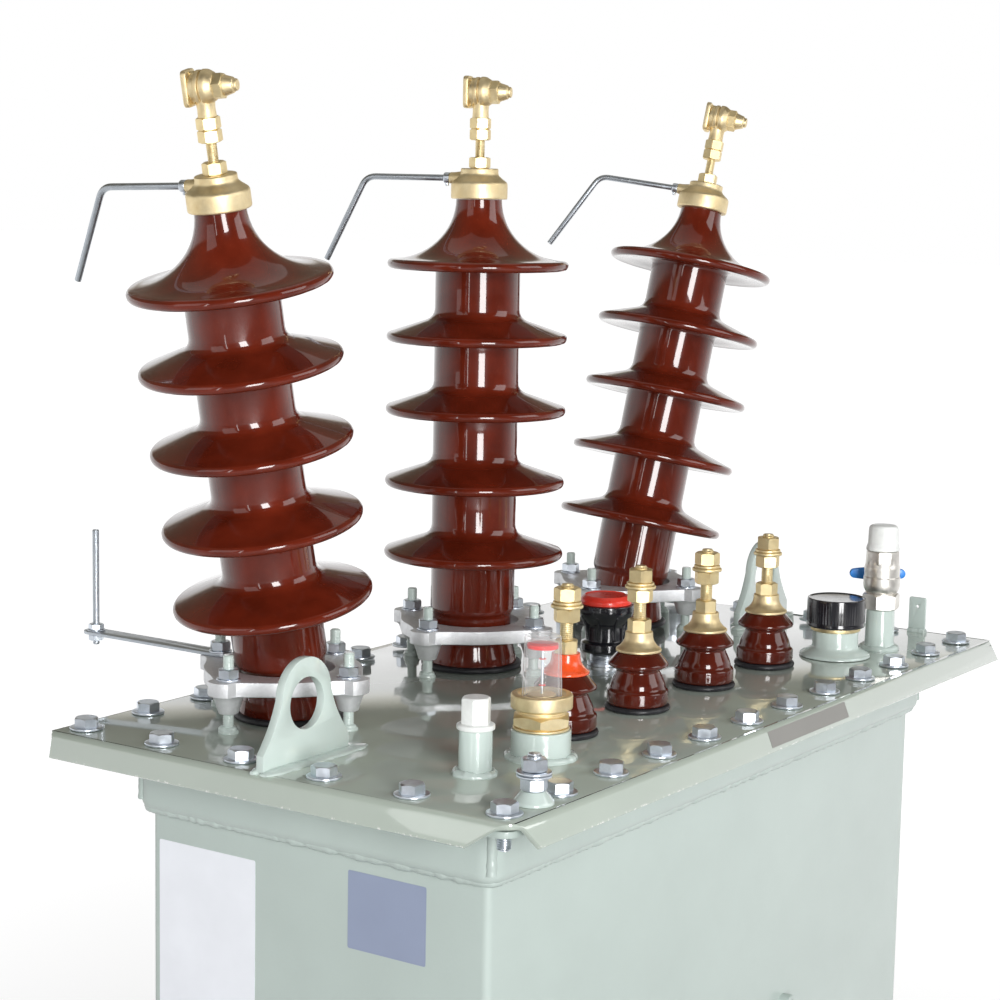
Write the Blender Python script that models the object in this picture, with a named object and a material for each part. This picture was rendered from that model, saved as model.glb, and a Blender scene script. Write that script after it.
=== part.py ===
"""Small oil-filled distribution transformer: tank, bolted cover, three high-voltage
bushings, four low-voltage bushings, cover fittings and lifting lugs.

Metres, +Z up. X runs along the tank, the low-voltage side faces -Y, and the origin is the
middle of the tank's underside, on the floor that it stands on.
"""
import math

import bmesh
import bpy
from mathutils import Matrix, Vector

# Clearance kept between pieces that touch
GAP = 0.0003

# Tank
TANK_LENGTH = 0.776
TANK_WIDTH = 0.356
TANK_HEIGHT = 0.701
TANK_CORNER = 0.007
FLOOR_THICKNESS = 0.008
FLOOR_LIP = 0.010
FOOT_LEG = 0.050
FOOT_THICKNESS = 0.006
FOOT_SLOT_LENGTH = 0.024
FOOT_SLOT_WIDTH = 0.014
FOOT_SLOT_INSET = 0.060
WALL_BOSS_X = 0.122
WALL_BOSS_BELOW_COVER = 0.318
WALL_BOSS_RADIUS = 0.010
WALL_BOSS_REACH = 0.010
WALL_BOSS_BORE = 0.006
WALL_BOSS_DEPTH = 0.008

# How far the cover reaches past the tank's walls
COVER_OVERHANG = 0.063

# Rim that carries the cover, and its gasket
RIM_INSET = 0.011
RIM_REACH = COVER_OVERHANG - RIM_INSET
RIM_THICKNESS = 0.006
RIM_DEPTH = 0.063
RIM_PROUD = 0.011
RIM_CORNER = 0.012
GASKET_CORNER = 0.004
GASKET_WIDTH = 0.030
GASKET_THICKNESS = 0.004

# Cover: a sheet folded down along its four sides
COVER_LENGTH = TANK_LENGTH + 2 * COVER_OVERHANG
COVER_WIDTH = TANK_WIDTH + 2 * COVER_OVERHANG
COVER_THICKNESS = 0.005
FOLD_RADIUS = 0.0048
FLANGE_OUT = 0.0085
FLANGE_DROP = 0.021
CORNER_CUT = 0.0105
FLANGE_CUT = 0.004
FRONT_CUT_LONG = 0.027
FRONT_CUT_SHORT = 0.040
BOLT_INSET = 0.024

# High-voltage bushings
HV_FROM_END = 0.171
HV_FROM_EDGE = 0.127
HV_SPACING = COVER_LENGTH / 2 - HV_FROM_END
HV_Y = COVER_WIDTH / 2 - HV_FROM_EDGE
HV_LEAN_OUT = (math.radians(-11.4), 0.0, math.radians(11.9))
HV_LEAN_FRONT = (math.radians(-0.4), 0.0, math.radians(4.1))
HV_BODY_RADIUS = 0.041
HV_FOOT_RADIUS = 0.044
HV_WAIST_RADIUS = 0.038
HV_NECK_RADIUS = 0.022
HV_FOOT_STRAIGHT = 0.008
HV_FOOT_BELOW = 0.030
HV_WAIST_ABOVE_RING = 0.006
HV_WAIST_SLOPE = 0.005
BELL_STEPS = 6
HV_NECK_HEIGHT = 0.4535
SHED_COUNT = 5
BELL_HEIGHT = 0.0620
SHED_LOWEST_HEIGHT = 0.1123
SHED_TOP_HEIGHT = HV_NECK_HEIGHT - BELL_HEIGHT
SHED_PITCH = (SHED_TOP_HEIGHT - SHED_LOWEST_HEIGHT) / (SHED_COUNT - 1)
SHED_RADIUS = 0.0873
SHED_TIP_RADIUS = 0.0048
SHED_RISE = 0.019
SHED_UNDERCUT = 0.006
SHED_UNDER_FLAT = 0.012
SHED_FILLET = 0.0055
HV_SEAT_RADIUS = 0.049
HV_SEAT_THICKNESS = 0.005

# Clamp rings and the studs that hold them
CLAMP_STUD_CIRCLE = 0.073
CLAMP_LOBE_RADIUS = 0.018
CLAMP_BORE_RADIUS = 0.0455
CLAMP_THICKNESS = 0.013
CLAMP_UNDERSIDE = 0.033
CLAMP_PINCH = 0.005
BOSS_TOP_RADIUS = 0.014
BOSS_FOOT_RADIUS = 0.0085
BOSS_HEIGHT = 0.016
STUD_RADIUS = 0.005
STUD_HEIGHT = 0.068

# High-voltage terminals
CAP_RADIUS = 0.027
CAP_SKIRT = 0.0155
CAP_SHOULDER = 0.021
CAP_HUB_RADIUS = 0.018
CAP_HEIGHT = 0.029
CAP_BEVEL = 0.001
CAP_STEP = 0.003
TERMINAL_STUD_RADIUS = 0.0047
CAP_NUT_HEIGHT = 0.011
STUD_BARE = 0.0155
NECK_NUT_HEIGHT = 0.0105
NECK_RADIUS = 0.008
NECK_LENGTH = 0.012
NUT_CORNER_RADIUS = 0.0103
HEAD_RADIUS = 0.0132
HEAD_LENGTH = 0.022
HEAD_PLATE_THICKNESS = 0.005
HEAD_PLATE_LENGTH = 0.0304
HEAD_PLATE_WIDTH = 0.0224
PIN_NUT_RADIUS = 0.0093
PIN_NUT_LENGTH = 0.009
PIN_RADIUS = 0.0056
PIN_LENGTH = 0.010
PIN_TURN = math.radians(-70.0)
HEAD_STEP = 0.001
HEAD_TAPER = 0.003

# Arcing horns
HORN_RADIUS = 0.003
HORN_TURN = (math.radians(6.0), math.radians(13.0), math.radians(18.0))
HORN_REACH = 0.1185
HORN_OUT = 0.042
HORN_DROP = 0.0815
HORN_BEND = 0.010
HORN_BELOW_CAP_TOP = 0.004
HORN_BOSS_RADIUS = 0.0055
HORN_BOSS_REACH = 0.030
LOWER_STRIP_LENGTH = 0.155
LOWER_STRIP_WIDTH = 0.020
LOWER_STRIP_THICKNESS = 0.003
LOWER_ROD_RADIUS = 0.0033
LOWER_ROD_HEIGHT = 0.108
LOWER_ROD_TAIL = 0.010
LOWER_ROD_INSET = 0.002
LOWER_NUT_RADIUS = 0.008
LOWER_NUT_HEIGHT = 0.006

# Low-voltage bushings
LV_COUNT = 4
LV_FROM_END = 0.268
LV_FROM_EDGE = 0.128
LV_PITCH = (COVER_LENGTH - 2 * LV_FROM_END) / (LV_COUNT - 1)
LV_Y = LV_FROM_EDGE - COVER_WIDTH / 2
LV_SEAT_RADIUS = 0.0294
LV_SEAT_THICKNESS = 0.005
LV_FOOT_RADIUS = 0.028
LV_FOOT_HEIGHT = 0.014
LV_BODY_RADIUS = 0.0255
LV_WAIST_RADIUS = 0.0193
LV_WAIST_HEIGHT = 0.036
LV_SHED_RADIUS = 0.0274
LV_SHED_HEIGHT = 0.042
LV_TOP_RADIUS = 0.0185
LV_TOP_HEIGHT = 0.053
LV_CAP_RADIUS = 0.0208
LV_CAP_RIM = 0.002
LV_CAP_CONE = 0.010
LV_CAP_HUB_RADIUS = 0.0128
LV_CAP_HEIGHT = 0.018
LV_STUD_RADIUS = 0.0058
LV_NUT_RADIUS = 0.0118
LV_LOWER_NUT = 0.0115
LV_STUD_BARE = 0.0155
LV_CLAMP_NUT = 0.012
LV_WASHER_RADIUS = 0.0138
LV_WASHER_STACK = 0.006
LV_STUD_TIP = 0.003

# Filler pipe and its plug
FILLER_X = 0.108 - COVER_LENGTH / 2
FILLER_Y = 0.110 - COVER_WIDTH / 2
FILLER_RADIUS = 0.0137
FILLER_HEIGHT = 0.037
PLUG_FLANGE_RADIUS = 0.0157
PLUG_FLANGE_HEIGHT = 0.004
PLUG_CORNER_RADIUS = 0.0125
PLUG_HEIGHT = 0.026

# Oil gauge
GAUGE_X = 0.187 - COVER_LENGTH / 2
GAUGE_Y = 0.099 - COVER_WIDTH / 2
GAUGE_SOCKET_RADIUS = 0.0252
GAUGE_SOCKET_HEIGHT = 0.024
GAUGE_NUT_RADIUS = 0.0258
GAUGE_NUT_HEIGHT = 0.013
GAUGE_GROOVE = 0.004
GAUGE_RING_RADIUS = 0.0262
GAUGE_RING_HEIGHT = 0.013
GAUGE_GLASS_RADIUS = 0.0168
GAUGE_GLASS_TOP_RADIUS = 0.0152
GAUGE_GLASS_HEIGHT = 0.052
GAUGE_GLASS_SEAT = 0.004

# Pressure relief device
RELIEF_X = 0.084
RELIEF_Y = 0.012
RELIEF_THREAD_RADIUS = 0.015
RELIEF_THREAD_HEIGHT = 0.013
RELIEF_COLLAR_RADIUS = 0.019
RELIEF_COLLAR_HEIGHT = 0.012
RELIEF_BODY_RADIUS = 0.0282
RELIEF_BODY_HEIGHT = 0.036
RELIEF_WAIST_RADIUS = 0.022
RELIEF_DISC_RADIUS = 0.0255
RELIEF_DISC_HEIGHT = 0.009

# Thermometer pocket with its screw cap
POCKET_X = COVER_LENGTH / 2 - 0.180
POCKET_Y = 0.094 - COVER_WIDTH / 2
POCKET_RADIUS = 0.023
POCKET_HEIGHT = 0.026
POCKET_COLLAR_RADIUS = 0.036
POCKET_COLLAR_HEIGHT = 0.006
POCKET_RING_RADIUS = 0.025
POCKET_RING_HEIGHT = 0.004
POCKET_CAP_RADIUS = 0.0297
POCKET_CAP_HEIGHT = 0.029

# Ball valve on its pipe stub
VALVE_X = COVER_LENGTH / 2 - 0.118
VALVE_Y = 0.074 - COVER_WIDTH / 2
VALVE_STUB_RADIUS = 0.0145
VALVE_STUB_HEIGHT = 0.041
VALVE_HEX_RADIUS = 0.0198
VALVE_HEX_HEIGHT = 0.017
VALVE_BALL_RADIUS = 0.0188
VALVE_BALL_HEIGHT = 0.030
VALVE_TOP_RADIUS = 0.0175
VALVE_TOP_HEIGHT = 0.014
VALVE_CAP_RADIUS = 0.0163
VALVE_CAP_HEIGHT = 0.026
VALVE_TURN = math.radians(34.4)
STEM_RADIUS = 0.004
STEM_LENGTH = 0.033
HANDLE_CLEARANCE = 0.006
HANDLE_THICKNESS = 0.006
HANDLE_WIDTH = 0.010
HANDLE_SPAN = 0.058
HANDLE_HUB_RADIUS = 0.009
HANDLE_FIT = 0.0004

# Lifting lugs
LUG_FOOT_WIDTH = 0.110
LUG_FOOT_HEIGHT = 0.014
LUG_EDGE_INSET = 0.001
LUG_FRONT_Y = 0.0
LUG_HOLLOW = 0.0025
LUG_HEAD_RADIUS = 0.0315
LUG_HEAD_HEIGHT = 0.055
LUG_THICKNESS = 0.008
LUG_EYE_RADIUS = 0.0215
LUG_EYE_HEIGHT = 0.0484

# Upright tab and earth boss
TAB_X = COVER_LENGTH / 2 - 0.009
TAB_Y = 0.081 - COVER_WIDTH / 2
TAB_WIDTH = 0.019
TAB_HEIGHT = 0.037
TAB_THICKNESS = 0.003
TAB_HOLE_RADIUS = 0.002
TAB_HOLE_INSET = 0.010
EARTH_X = 0.0635 - COVER_LENGTH / 2
EARTH_Y = BOLT_INSET - COVER_WIDTH / 2
EARTH_BOSS_RADIUS = 0.0165
EARTH_BOSS_EDGE = 0.002
EARTH_BOSS_TOP_RADIUS = 0.010
EARTH_BOSS_HEIGHT = 0.010
EARTH_STUD_RADIUS = 0.006
EARTH_STUD_HEIGHT = 0.040

# Levels that the pieces stack up to
TANK_BASE = FLOOR_THICKNESS + GAP
TANK_TOP = TANK_BASE + TANK_HEIGHT
GASKET_BASE = TANK_TOP + GAP
COVER_BASE = GASKET_BASE + GASKET_THICKNESS + GAP
COVER_TOP = COVER_BASE + COVER_THICKNESS
ON_COVER = COVER_TOP + GAP

# Facets round the turned pieces, and points on the small arcs
LARGE_ROUND = 20
SMALL_ROUND = 16
BOLT_ROUND = 12
STUD_ROUND = 10
BORE_ROUND = 24
ARC_STEPS = 4
TIP_STEPS = 2

# Depth that pieces to be joined reach into each other
OVERLAP = 0.001


def clear_scene():
    for item in list(bpy.data.objects):
        bpy.data.objects.remove(item, do_unlink=True)


def make_material(name, colour, roughness, metallic=0.0, transmission=0.0):
    material = bpy.data.materials.new(name)
    material.use_nodes = True
    shader = material.node_tree.nodes["Principled BSDF"]
    shader.inputs["Base Color"].default_value = (*colour, 1.0)
    shader.inputs["Roughness"].default_value = roughness
    shader.inputs["Metallic"].default_value = metallic
    shader.inputs["Transmission Weight"].default_value = transmission
    return material


def finish(name, bm, material, matrix=None):
    """Turn a bmesh into an object with its faces pointing out."""
    bmesh.ops.remove_doubles(bm, verts=bm.verts, dist=1e-6)
    bmesh.ops.recalc_face_normals(bm, faces=bm.faces)
    mesh = bpy.data.meshes.new(name)
    bm.to_mesh(mesh)
    bm.free()
    mesh.materials.append(material)
    mesh.shade_smooth()
    mesh.set_sharp_from_angle(angle=math.radians(35))
    if matrix is not None:
        mesh.transform(matrix)
    obj = bpy.data.objects.new(name, mesh)
    bpy.context.collection.objects.link(obj)
    return obj


def turned(name, profile, steps, material, matrix=None):
    """Spin a profile of (radius, height) points round Z into one solid."""
    bm = bmesh.new()
    verts = [bm.verts.new((radius, 0.0, height)) for radius, height in profile]
    pairs = list(zip(verts, verts[1:]))
    if profile[0][0] > 0.0:
        pairs.append((verts[-1], verts[0]))
    edges = [bm.edges.new(pair) for pair in pairs]
    bmesh.ops.spin(bm, geom=verts + edges, cent=(0, 0, 0), axis=(0, 0, 1),
                   angle=math.tau, steps=steps, use_merge=True)
    return finish(name, bm, material, matrix)


def extruded(name, outline, depth, material, matrix=None):
    """Extrude a flat (x, y) outline along +Z."""
    bm = bmesh.new()
    face = bm.faces.new([bm.verts.new((x, y, 0.0)) for x, y in outline])
    moved = bmesh.ops.extrude_face_region(bm, geom=[face])
    tops = [item for item in moved["geom"] if isinstance(item, bmesh.types.BMVert)]
    bmesh.ops.translate(bm, verts=tops, vec=(0, 0, depth))
    return finish(name, bm, material, matrix)


def ring_points(radius, count, turn=0.0):
    step = math.tau / count
    return [(radius * math.cos(turn + i * step), radius * math.sin(turn + i * step)) for i in range(count)]


def arc_points(centre, radius, start, end, steps):
    """Points along an arc between two angles in radians."""
    angles = [start + (end - start) * i / steps for i in range(steps + 1)]
    return [(centre[0] + radius * math.cos(a), centre[1] + radius * math.sin(a)) for a in angles]


def boolean(target, tool, operation):
    """Apply a Boolean of the tool to the target and remove the tool."""
    modifier = target.modifiers.new("boolean", "BOOLEAN")
    modifier.operation = operation
    modifier.solver = "EXACT"
    modifier.object = tool
    graph = bpy.context.evaluated_depsgraph_get()
    mesh = bpy.data.meshes.new_from_object(target.evaluated_get(graph))
    target.modifiers.clear()
    target.data = mesh
    bpy.data.objects.remove(tool, do_unlink=True)
    return target


def fuse(target, *tools):
    for tool in tools:
        boolean(target, tool, "UNION")
    return target


def cut(target, *tools):
    for tool in tools:
        boolean(target, tool, "DIFFERENCE")
    return target


def gathered(tools):
    """Put tools that stand clear of each other into one mesh, for a single Boolean."""
    bm = bmesh.new()
    for tool in tools:
        bm.from_mesh(tool.data)
    for tool in tools[1:]:
        bpy.data.objects.remove(tool, do_unlink=True)
    bm.to_mesh(tools[0].data)
    bm.free()
    return tools[0]


def at(x, y, z):
    return Matrix.Translation((x, y, z))


def cylinder(radius, low, high, steps, material, matrix=None):
    profile = [(0.0, low), (radius, low), (radius, high), (0.0, high)]
    return turned("cylinder", profile, steps, material, matrix)


def hexagon(radius, low, high, material, matrix, turn=0.0):
    """A six-sided nut, by the radius of its corners."""
    return extruded("hexagon", ring_points(radius, 6, turn), high - low, material, matrix @ at(0, 0, low))


def block(size, centre, material, matrix=None):
    outline = [(-size[0] / 2, -size[1] / 2), (size[0] / 2, -size[1] / 2),
               (size[0] / 2, size[1] / 2), (-size[0] / 2, size[1] / 2)]
    place = at(centre[0], centre[1], centre[2] - size[2] / 2)
    return extruded("block", outline, size[2], material, matrix @ place if matrix else place)


def swept_frame(name, half_length, half_width, profile, material):
    """Sweep a closed profile of (outward, height, corner radius) points round a rectangle."""
    bm = bmesh.new()
    rings = []
    for sx, sy, start in ((-1, -1, 1.0), (1, -1, 1.5), (1, 1, 0.0), (-1, 1, 0.5)):
        for step in range(ARC_STEPS + 1):
            angle = (start + 0.5 * step / ARC_STEPS) * math.pi
            ring = []
            for out, z, radius in profile:
                x = sx * (half_length + out - radius) + radius * math.cos(angle)
                y = sy * (half_width + out - radius) + radius * math.sin(angle)
                ring.append(bm.verts.new((x, y, z)))
            rings.append(ring)
    count = len(profile)
    for place, ring in enumerate(rings):
        following = rings[(place + 1) % len(rings)]
        for i in range(count):
            j = (i + 1) % count
            bm.faces.new((ring[i], ring[j], following[j], following[i]))
    return finish(name, bm, material)


def swept_rod(name, path, radius, steps, material):
    """A round rod along a path of points, closed at both ends."""
    curve = bpy.data.curves.new(name, "CURVE")
    curve.dimensions = "3D"
    curve.bevel_depth = radius
    curve.bevel_resolution = steps
    curve.use_fill_caps = True
    spline = curve.splines.new("POLY")
    spline.points.add(len(path) - 1)
    for point, place in zip(spline.points, path):
        point.co = (*place, 1.0)
    guide = bpy.data.objects.new(name, curve)
    bpy.context.collection.objects.link(guide)
    graph = bpy.context.evaluated_depsgraph_get()
    bm = bmesh.new()
    bm.from_mesh(bpy.data.meshes.new_from_object(guide.evaluated_get(graph)))
    bpy.data.objects.remove(guide, do_unlink=True)
    return finish(name, bm, material)


def build_tank(paint):
    outline = []
    for sx, sy, start in ((1, 1, 0.0), (-1, 1, 0.5), (-1, -1, 1.0), (1, -1, 1.5)):
        centre = (sx * (TANK_LENGTH / 2 - TANK_CORNER), sy * (TANK_WIDTH / 2 - TANK_CORNER))
        outline += arc_points(centre, TANK_CORNER, start * math.pi, (start + 0.5) * math.pi, ARC_STEPS)
    tank = extruded("tank_body", outline, TANK_HEIGHT, paint, at(0, 0, TANK_BASE))
    face = at(WALL_BOSS_X, -TANK_WIDTH / 2, COVER_TOP - WALL_BOSS_BELOW_COVER)
    outward = face @ Matrix.Rotation(math.pi / 2, 4, "X")
    fuse(tank, cylinder(WALL_BOSS_RADIUS, -TANK_CORNER, WALL_BOSS_REACH, SMALL_ROUND, paint, outward))
    bottom = WALL_BOSS_REACH - WALL_BOSS_DEPTH
    cut(tank, cylinder(WALL_BOSS_BORE, bottom, 2 * WALL_BOSS_REACH, BOLT_ROUND, paint, outward))
    floor_length = TANK_LENGTH + 2 * FLOOR_LIP
    floor_width = TANK_WIDTH + 2 * FLOOR_LIP
    floor = block((floor_length, floor_width, FLOOR_THICKNESS), (0, 0, FLOOR_THICKNESS / 2), paint)
    floor.name = "tank_floor"


def build_foot(name, side, paint):
    """An angle welded along a short side, flush with the floor, with a slot near each end."""
    inner = TANK_LENGTH / 2 + FLOOR_LIP + GAP
    profile = [(inner, 0.0), (inner + FOOT_LEG, 0.0), (inner + FOOT_LEG, FOOT_THICKNESS),
               (inner + FOOT_THICKNESS, FOOT_THICKNESS), (inner + FOOT_THICKNESS, FOOT_LEG), (inner, FOOT_LEG)]
    length = TANK_WIDTH + 2 * FLOOR_LIP
    upright = Matrix(((side, 0, 0, 0), (0, 0, 1, -length / 2), (0, 1, 0, 0), (0, 0, 0, 1)))
    foot = extruded(name, profile, length, paint, upright)
    flip_if_inside_out(foot)
    slot_x = side * (inner + (FOOT_LEG + FOOT_THICKNESS) / 2)
    for end in (-1, 1):
        y = end * (length / 2 - FOOT_SLOT_INSET)
        half = (FOOT_SLOT_LENGTH - FOOT_SLOT_WIDTH) / 2
        outline = arc_points((half, 0), FOOT_SLOT_WIDTH / 2, -math.pi / 2, math.pi / 2, ARC_STEPS)
        outline += arc_points((-half, 0), FOOT_SLOT_WIDTH / 2, math.pi / 2, 3 * math.pi / 2, ARC_STEPS)
        cut(foot, extruded("slot", outline, 3 * FOOT_THICKNESS, paint, at(slot_x, y, -FOOT_THICKNESS)))


def flip_if_inside_out(obj):
    bm = bmesh.new()
    bm.from_mesh(obj.data)
    bmesh.ops.recalc_face_normals(bm, faces=bm.faces)
    bm.to_mesh(obj.data)
    bm.free()


def build_rim(paint, rubber):
    half_length = TANK_LENGTH / 2 + GAP
    half_width = TANK_WIDTH / 2 + GAP
    nose = arc_points((0.0, TANK_TOP - RIM_DEPTH + RIM_PROUD), RIM_PROUD, -math.pi / 2, 0.0, ARC_STEPS)
    band = [(0.0, TANK_TOP)] + nose + [(RIM_PROUD, TANK_TOP - RIM_THICKNESS)]
    profile = [(out, z, TANK_CORNER + GAP + out) for out, z in band]
    profile += [(RIM_REACH, TANK_TOP - RIM_THICKNESS, RIM_CORNER), (RIM_REACH, TANK_TOP, RIM_CORNER)]
    swept_frame("rim_frame", half_length, half_width, profile, paint)
    inner = RIM_REACH - GASKET_WIDTH - BOLT_INSET / 2
    outer = inner + GASKET_WIDTH
    top = GASKET_BASE + GASKET_THICKNESS
    section = [(inner, GASKET_BASE), (outer, GASKET_BASE), (outer, top), (inner, top)]
    profile = [(out, z, GASKET_CORNER) for out, z in section]
    swept_frame("cover_gasket", half_length, half_width, profile, rubber)


def build_cover(paint):
    """The cover: one sheet folded down along its four sides, with cut corners."""
    half_x, half_y = COVER_LENGTH / 2, COVER_WIDTH / 2
    corners = [(1, -1, FLANGE_CUT, FLANGE_CUT), (1, 1, FLANGE_CUT, FLANGE_CUT),
               (-1, 1, FLANGE_CUT, FLANGE_CUT), (-1, -1, FRONT_CUT_LONG, FRONT_CUT_SHORT)]
    bm = bmesh.new()
    top = []
    flange_ends = []
    for sx, sy, cut_long, cut_short in corners:
        along_x = bm.verts.new((sx * (half_x - CORNER_CUT), sy * half_y, 0.0))
        along_y = bm.verts.new((sx * half_x, sy * (half_y - CORNER_CUT), 0.0))
        low_x = bm.verts.new((sx * (half_x - cut_long), sy * (half_y + FLANGE_OUT), -FLANGE_DROP))
        low_y = bm.verts.new((sx * (half_x + FLANGE_OUT), sy * (half_y - cut_short), -FLANGE_DROP))
        pair = [(along_x, low_x), (along_y, low_y)]
        if sx * sy > 0:
            pair.reverse()
        top += [vert for vert, _ in pair]
        flange_ends += pair
    bm.faces.new(top)
    folds = []
    for i in range(1, len(flange_ends), 2):
        first, second = flange_ends[i], flange_ends[(i + 1) % len(flange_ends)]
        bm.faces.new((second[0], first[0], first[1], second[1]))
        folds.append(bm.edges.get((first[0], second[0])))
    bmesh.ops.bevel(bm, geom=folds, offset=FOLD_RADIUS, segments=3, profile=0.5, affect="EDGES")
    bmesh.ops.recalc_face_normals(bm, faces=bm.faces)
    if max(bm.faces, key=lambda face: face.calc_area()).normal.z < 0.0:
        bmesh.ops.reverse_faces(bm, faces=bm.faces)
    mesh = bpy.data.meshes.new("cover_plate")
    bm.to_mesh(mesh)
    bm.free()
    mesh.materials.append(paint)
    mesh.transform(at(0, 0, COVER_TOP))
    cover = bpy.data.objects.new("cover_plate", mesh)
    bpy.context.collection.objects.link(cover)
    sheet = cover.modifiers.new("sheet", "SOLIDIFY")
    sheet.thickness = COVER_THICKNESS
    sheet.offset = -1.0
    sheet.use_even_offset = True


def build_earth_stud(paint):
    profile = [(0.0, 0.0), (EARTH_BOSS_RADIUS, 0.0), (EARTH_BOSS_RADIUS, EARTH_BOSS_EDGE),
               (EARTH_BOSS_TOP_RADIUS, EARTH_BOSS_HEIGHT), (EARTH_STUD_RADIUS, EARTH_BOSS_HEIGHT),
               (EARTH_STUD_RADIUS, EARTH_STUD_HEIGHT), (0.0, EARTH_STUD_HEIGHT)]
    turned("earth_stud", profile, SMALL_ROUND, paint, at(EARTH_X, EARTH_Y, ON_COVER))


def bushing_order(x):
    """0 for the left bushing, 1 for the middle one and 2 for the right one."""
    return 1 + (x > 0) - (x < 0)


def lean_of(x):
    """The outer bushings lean outwards, the right one to the front as well."""
    return HV_LEAN_OUT[bushing_order(x)], HV_LEAN_FRONT[bushing_order(x)]


def bushing_matrix(x):
    out, front = lean_of(x)
    axis = Vector((math.sin(out), -math.sin(front), 0.0))
    axis.z = math.sqrt(1.0 - axis.x ** 2 - axis.y ** 2)
    across = Vector((0, 1, 0)).cross(axis).normalized()
    turn = Matrix((across, axis.cross(across), axis)).transposed().to_4x4()
    return at(x, HV_Y, COVER_TOP) @ turn


def clamp_centre(x):
    """Where the bushing's axis crosses the middle of its clamp ring."""
    matrix = bushing_matrix(x)
    axis = matrix.to_3x3() @ Vector((0, 0, 1))
    height = CLAMP_UNDERSIDE + CLAMP_THICKNESS / 2
    return x + axis.x / axis.z * height, HV_Y + axis.y / axis.z * height


def shed_profile(height):
    """One shed from its underside at the body out round its tip and back up to the body."""
    tip = (SHED_RADIUS - SHED_TIP_RADIUS, height)
    under = height - SHED_TIP_RADIUS + SHED_UNDERCUT
    points = [(HV_BODY_RADIUS, under), (tip[0] - SHED_UNDER_FLAT, under - 0.6 * SHED_UNDERCUT)]
    points += arc_points(tip, SHED_TIP_RADIUS, -math.pi / 2, math.pi / 2, TIP_STEPS)
    cone_out = tip[0] - HV_BODY_RADIUS
    cone_low = height + SHED_TIP_RADIUS
    slope = (height + SHED_RISE - cone_low) / cone_out
    near = 1.5 * SHED_FILLET
    points.append((HV_BODY_RADIUS + near, height + SHED_RISE - near * slope))
    points.append((HV_BODY_RADIUS + 0.3 * SHED_FILLET, height + SHED_RISE + 0.2 * SHED_FILLET))
    points.append((HV_BODY_RADIUS, height + SHED_RISE + SHED_FILLET))
    return points


def porcelain_profile():
    """Foot, waist in the clamp ring, plain barrel, sheds and the bell under the cap."""
    waist_top = CLAMP_UNDERSIDE + CLAMP_THICKNESS + HV_WAIST_ABOVE_RING
    points = [(0.0, -HV_FOOT_BELOW), (HV_FOOT_RADIUS, -HV_FOOT_BELOW), (HV_FOOT_RADIUS, HV_FOOT_STRAIGHT)]
    points += [(HV_WAIST_RADIUS, CLAMP_UNDERSIDE), (HV_WAIST_RADIUS, waist_top)]
    points.append((HV_BODY_RADIUS, waist_top + HV_WAIST_SLOPE))
    for i in reversed(range(1, SHED_COUNT)):
        points += shed_profile(SHED_TOP_HEIGHT - i * SHED_PITCH)
    top = shed_profile(SHED_TOP_HEIGHT)
    points += top[:3 + TIP_STEPS]
    bell_out = points[-1][0] - HV_NECK_RADIUS
    bell_up = HV_NECK_HEIGHT - points[-1][1]
    for i in range(1, BELL_STEPS + 1):
        angle = 0.5 * math.pi * i / BELL_STEPS
        points.append((HV_NECK_RADIUS + bell_out * (1 - math.sin(angle)),
                       HV_NECK_HEIGHT - bell_up * math.cos(angle)))
    points.append((0.0, HV_NECK_HEIGHT))
    return points


def build_porcelain(name, x, glaze):
    porcelain = turned(name, porcelain_profile(), LARGE_ROUND, glaze, bushing_matrix(x))
    level = ON_COVER + HV_SEAT_THICKNESS + GAP
    size = 4 * SHED_RADIUS
    cut(porcelain, block((size, size, size), (x, HV_Y, level - size / 2), glaze))


def build_hv_seat(name, x, rubber):
    profile = [(0.0, 0.0), (HV_SEAT_RADIUS, 0.0), (HV_SEAT_RADIUS, HV_SEAT_THICKNESS), (0.0, HV_SEAT_THICKNESS)]
    turned(name, profile, LARGE_ROUND, rubber, at(x, HV_Y, ON_COVER))


def clamp_outline():
    """A rounded square on its corner, with the sides drawn in a little between the lobes."""
    points = []
    for i in range(4):
        angle = i * math.pi / 2
        centre = (CLAMP_STUD_CIRCLE * math.cos(angle), CLAMP_STUD_CIRCLE * math.sin(angle))
        points += arc_points(centre, CLAMP_LOBE_RADIUS, angle - math.pi / 4, angle + math.pi / 4, ARC_STEPS)
        side = CLAMP_STUD_CIRCLE * math.cos(math.pi / 4) + CLAMP_LOBE_RADIUS - CLAMP_PINCH
        middle = angle + math.pi / 4
        points.append((side * math.cos(middle), side * math.sin(middle)))
    return points


def build_clamp_ring(name, x, aluminium):
    """The cast ring with the four studs that stand on the cover and hold it."""
    centre_x, centre_y = clamp_centre(x)
    ring = extruded(name, clamp_outline(), CLAMP_THICKNESS, aluminium)
    cut(ring, cylinder(CLAMP_BORE_RADIUS, -CLAMP_THICKNESS, 2 * CLAMP_THICKNESS, BORE_ROUND, aluminium))
    low = GAP - CLAMP_UNDERSIDE
    high = STUD_HEIGHT - CLAMP_UNDERSIDE
    profile = [(0.0, low), (STUD_RADIUS, low), (STUD_RADIUS, -BOSS_HEIGHT), (BOSS_FOOT_RADIUS, -BOSS_HEIGHT),
               (BOSS_TOP_RADIUS, OVERLAP), (STUD_RADIUS, OVERLAP), (STUD_RADIUS, high), (0.0, high)]
    studs = [turned("stud", profile, BOLT_ROUND, aluminium, at(x, y, 0)) for x, y in ring_points(CLAMP_STUD_CIRCLE, 4)]
    fuse(ring, gathered(studs))
    ring.data.transform(at(centre_x, centre_y, COVER_TOP + CLAMP_UNDERSIDE))


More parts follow.
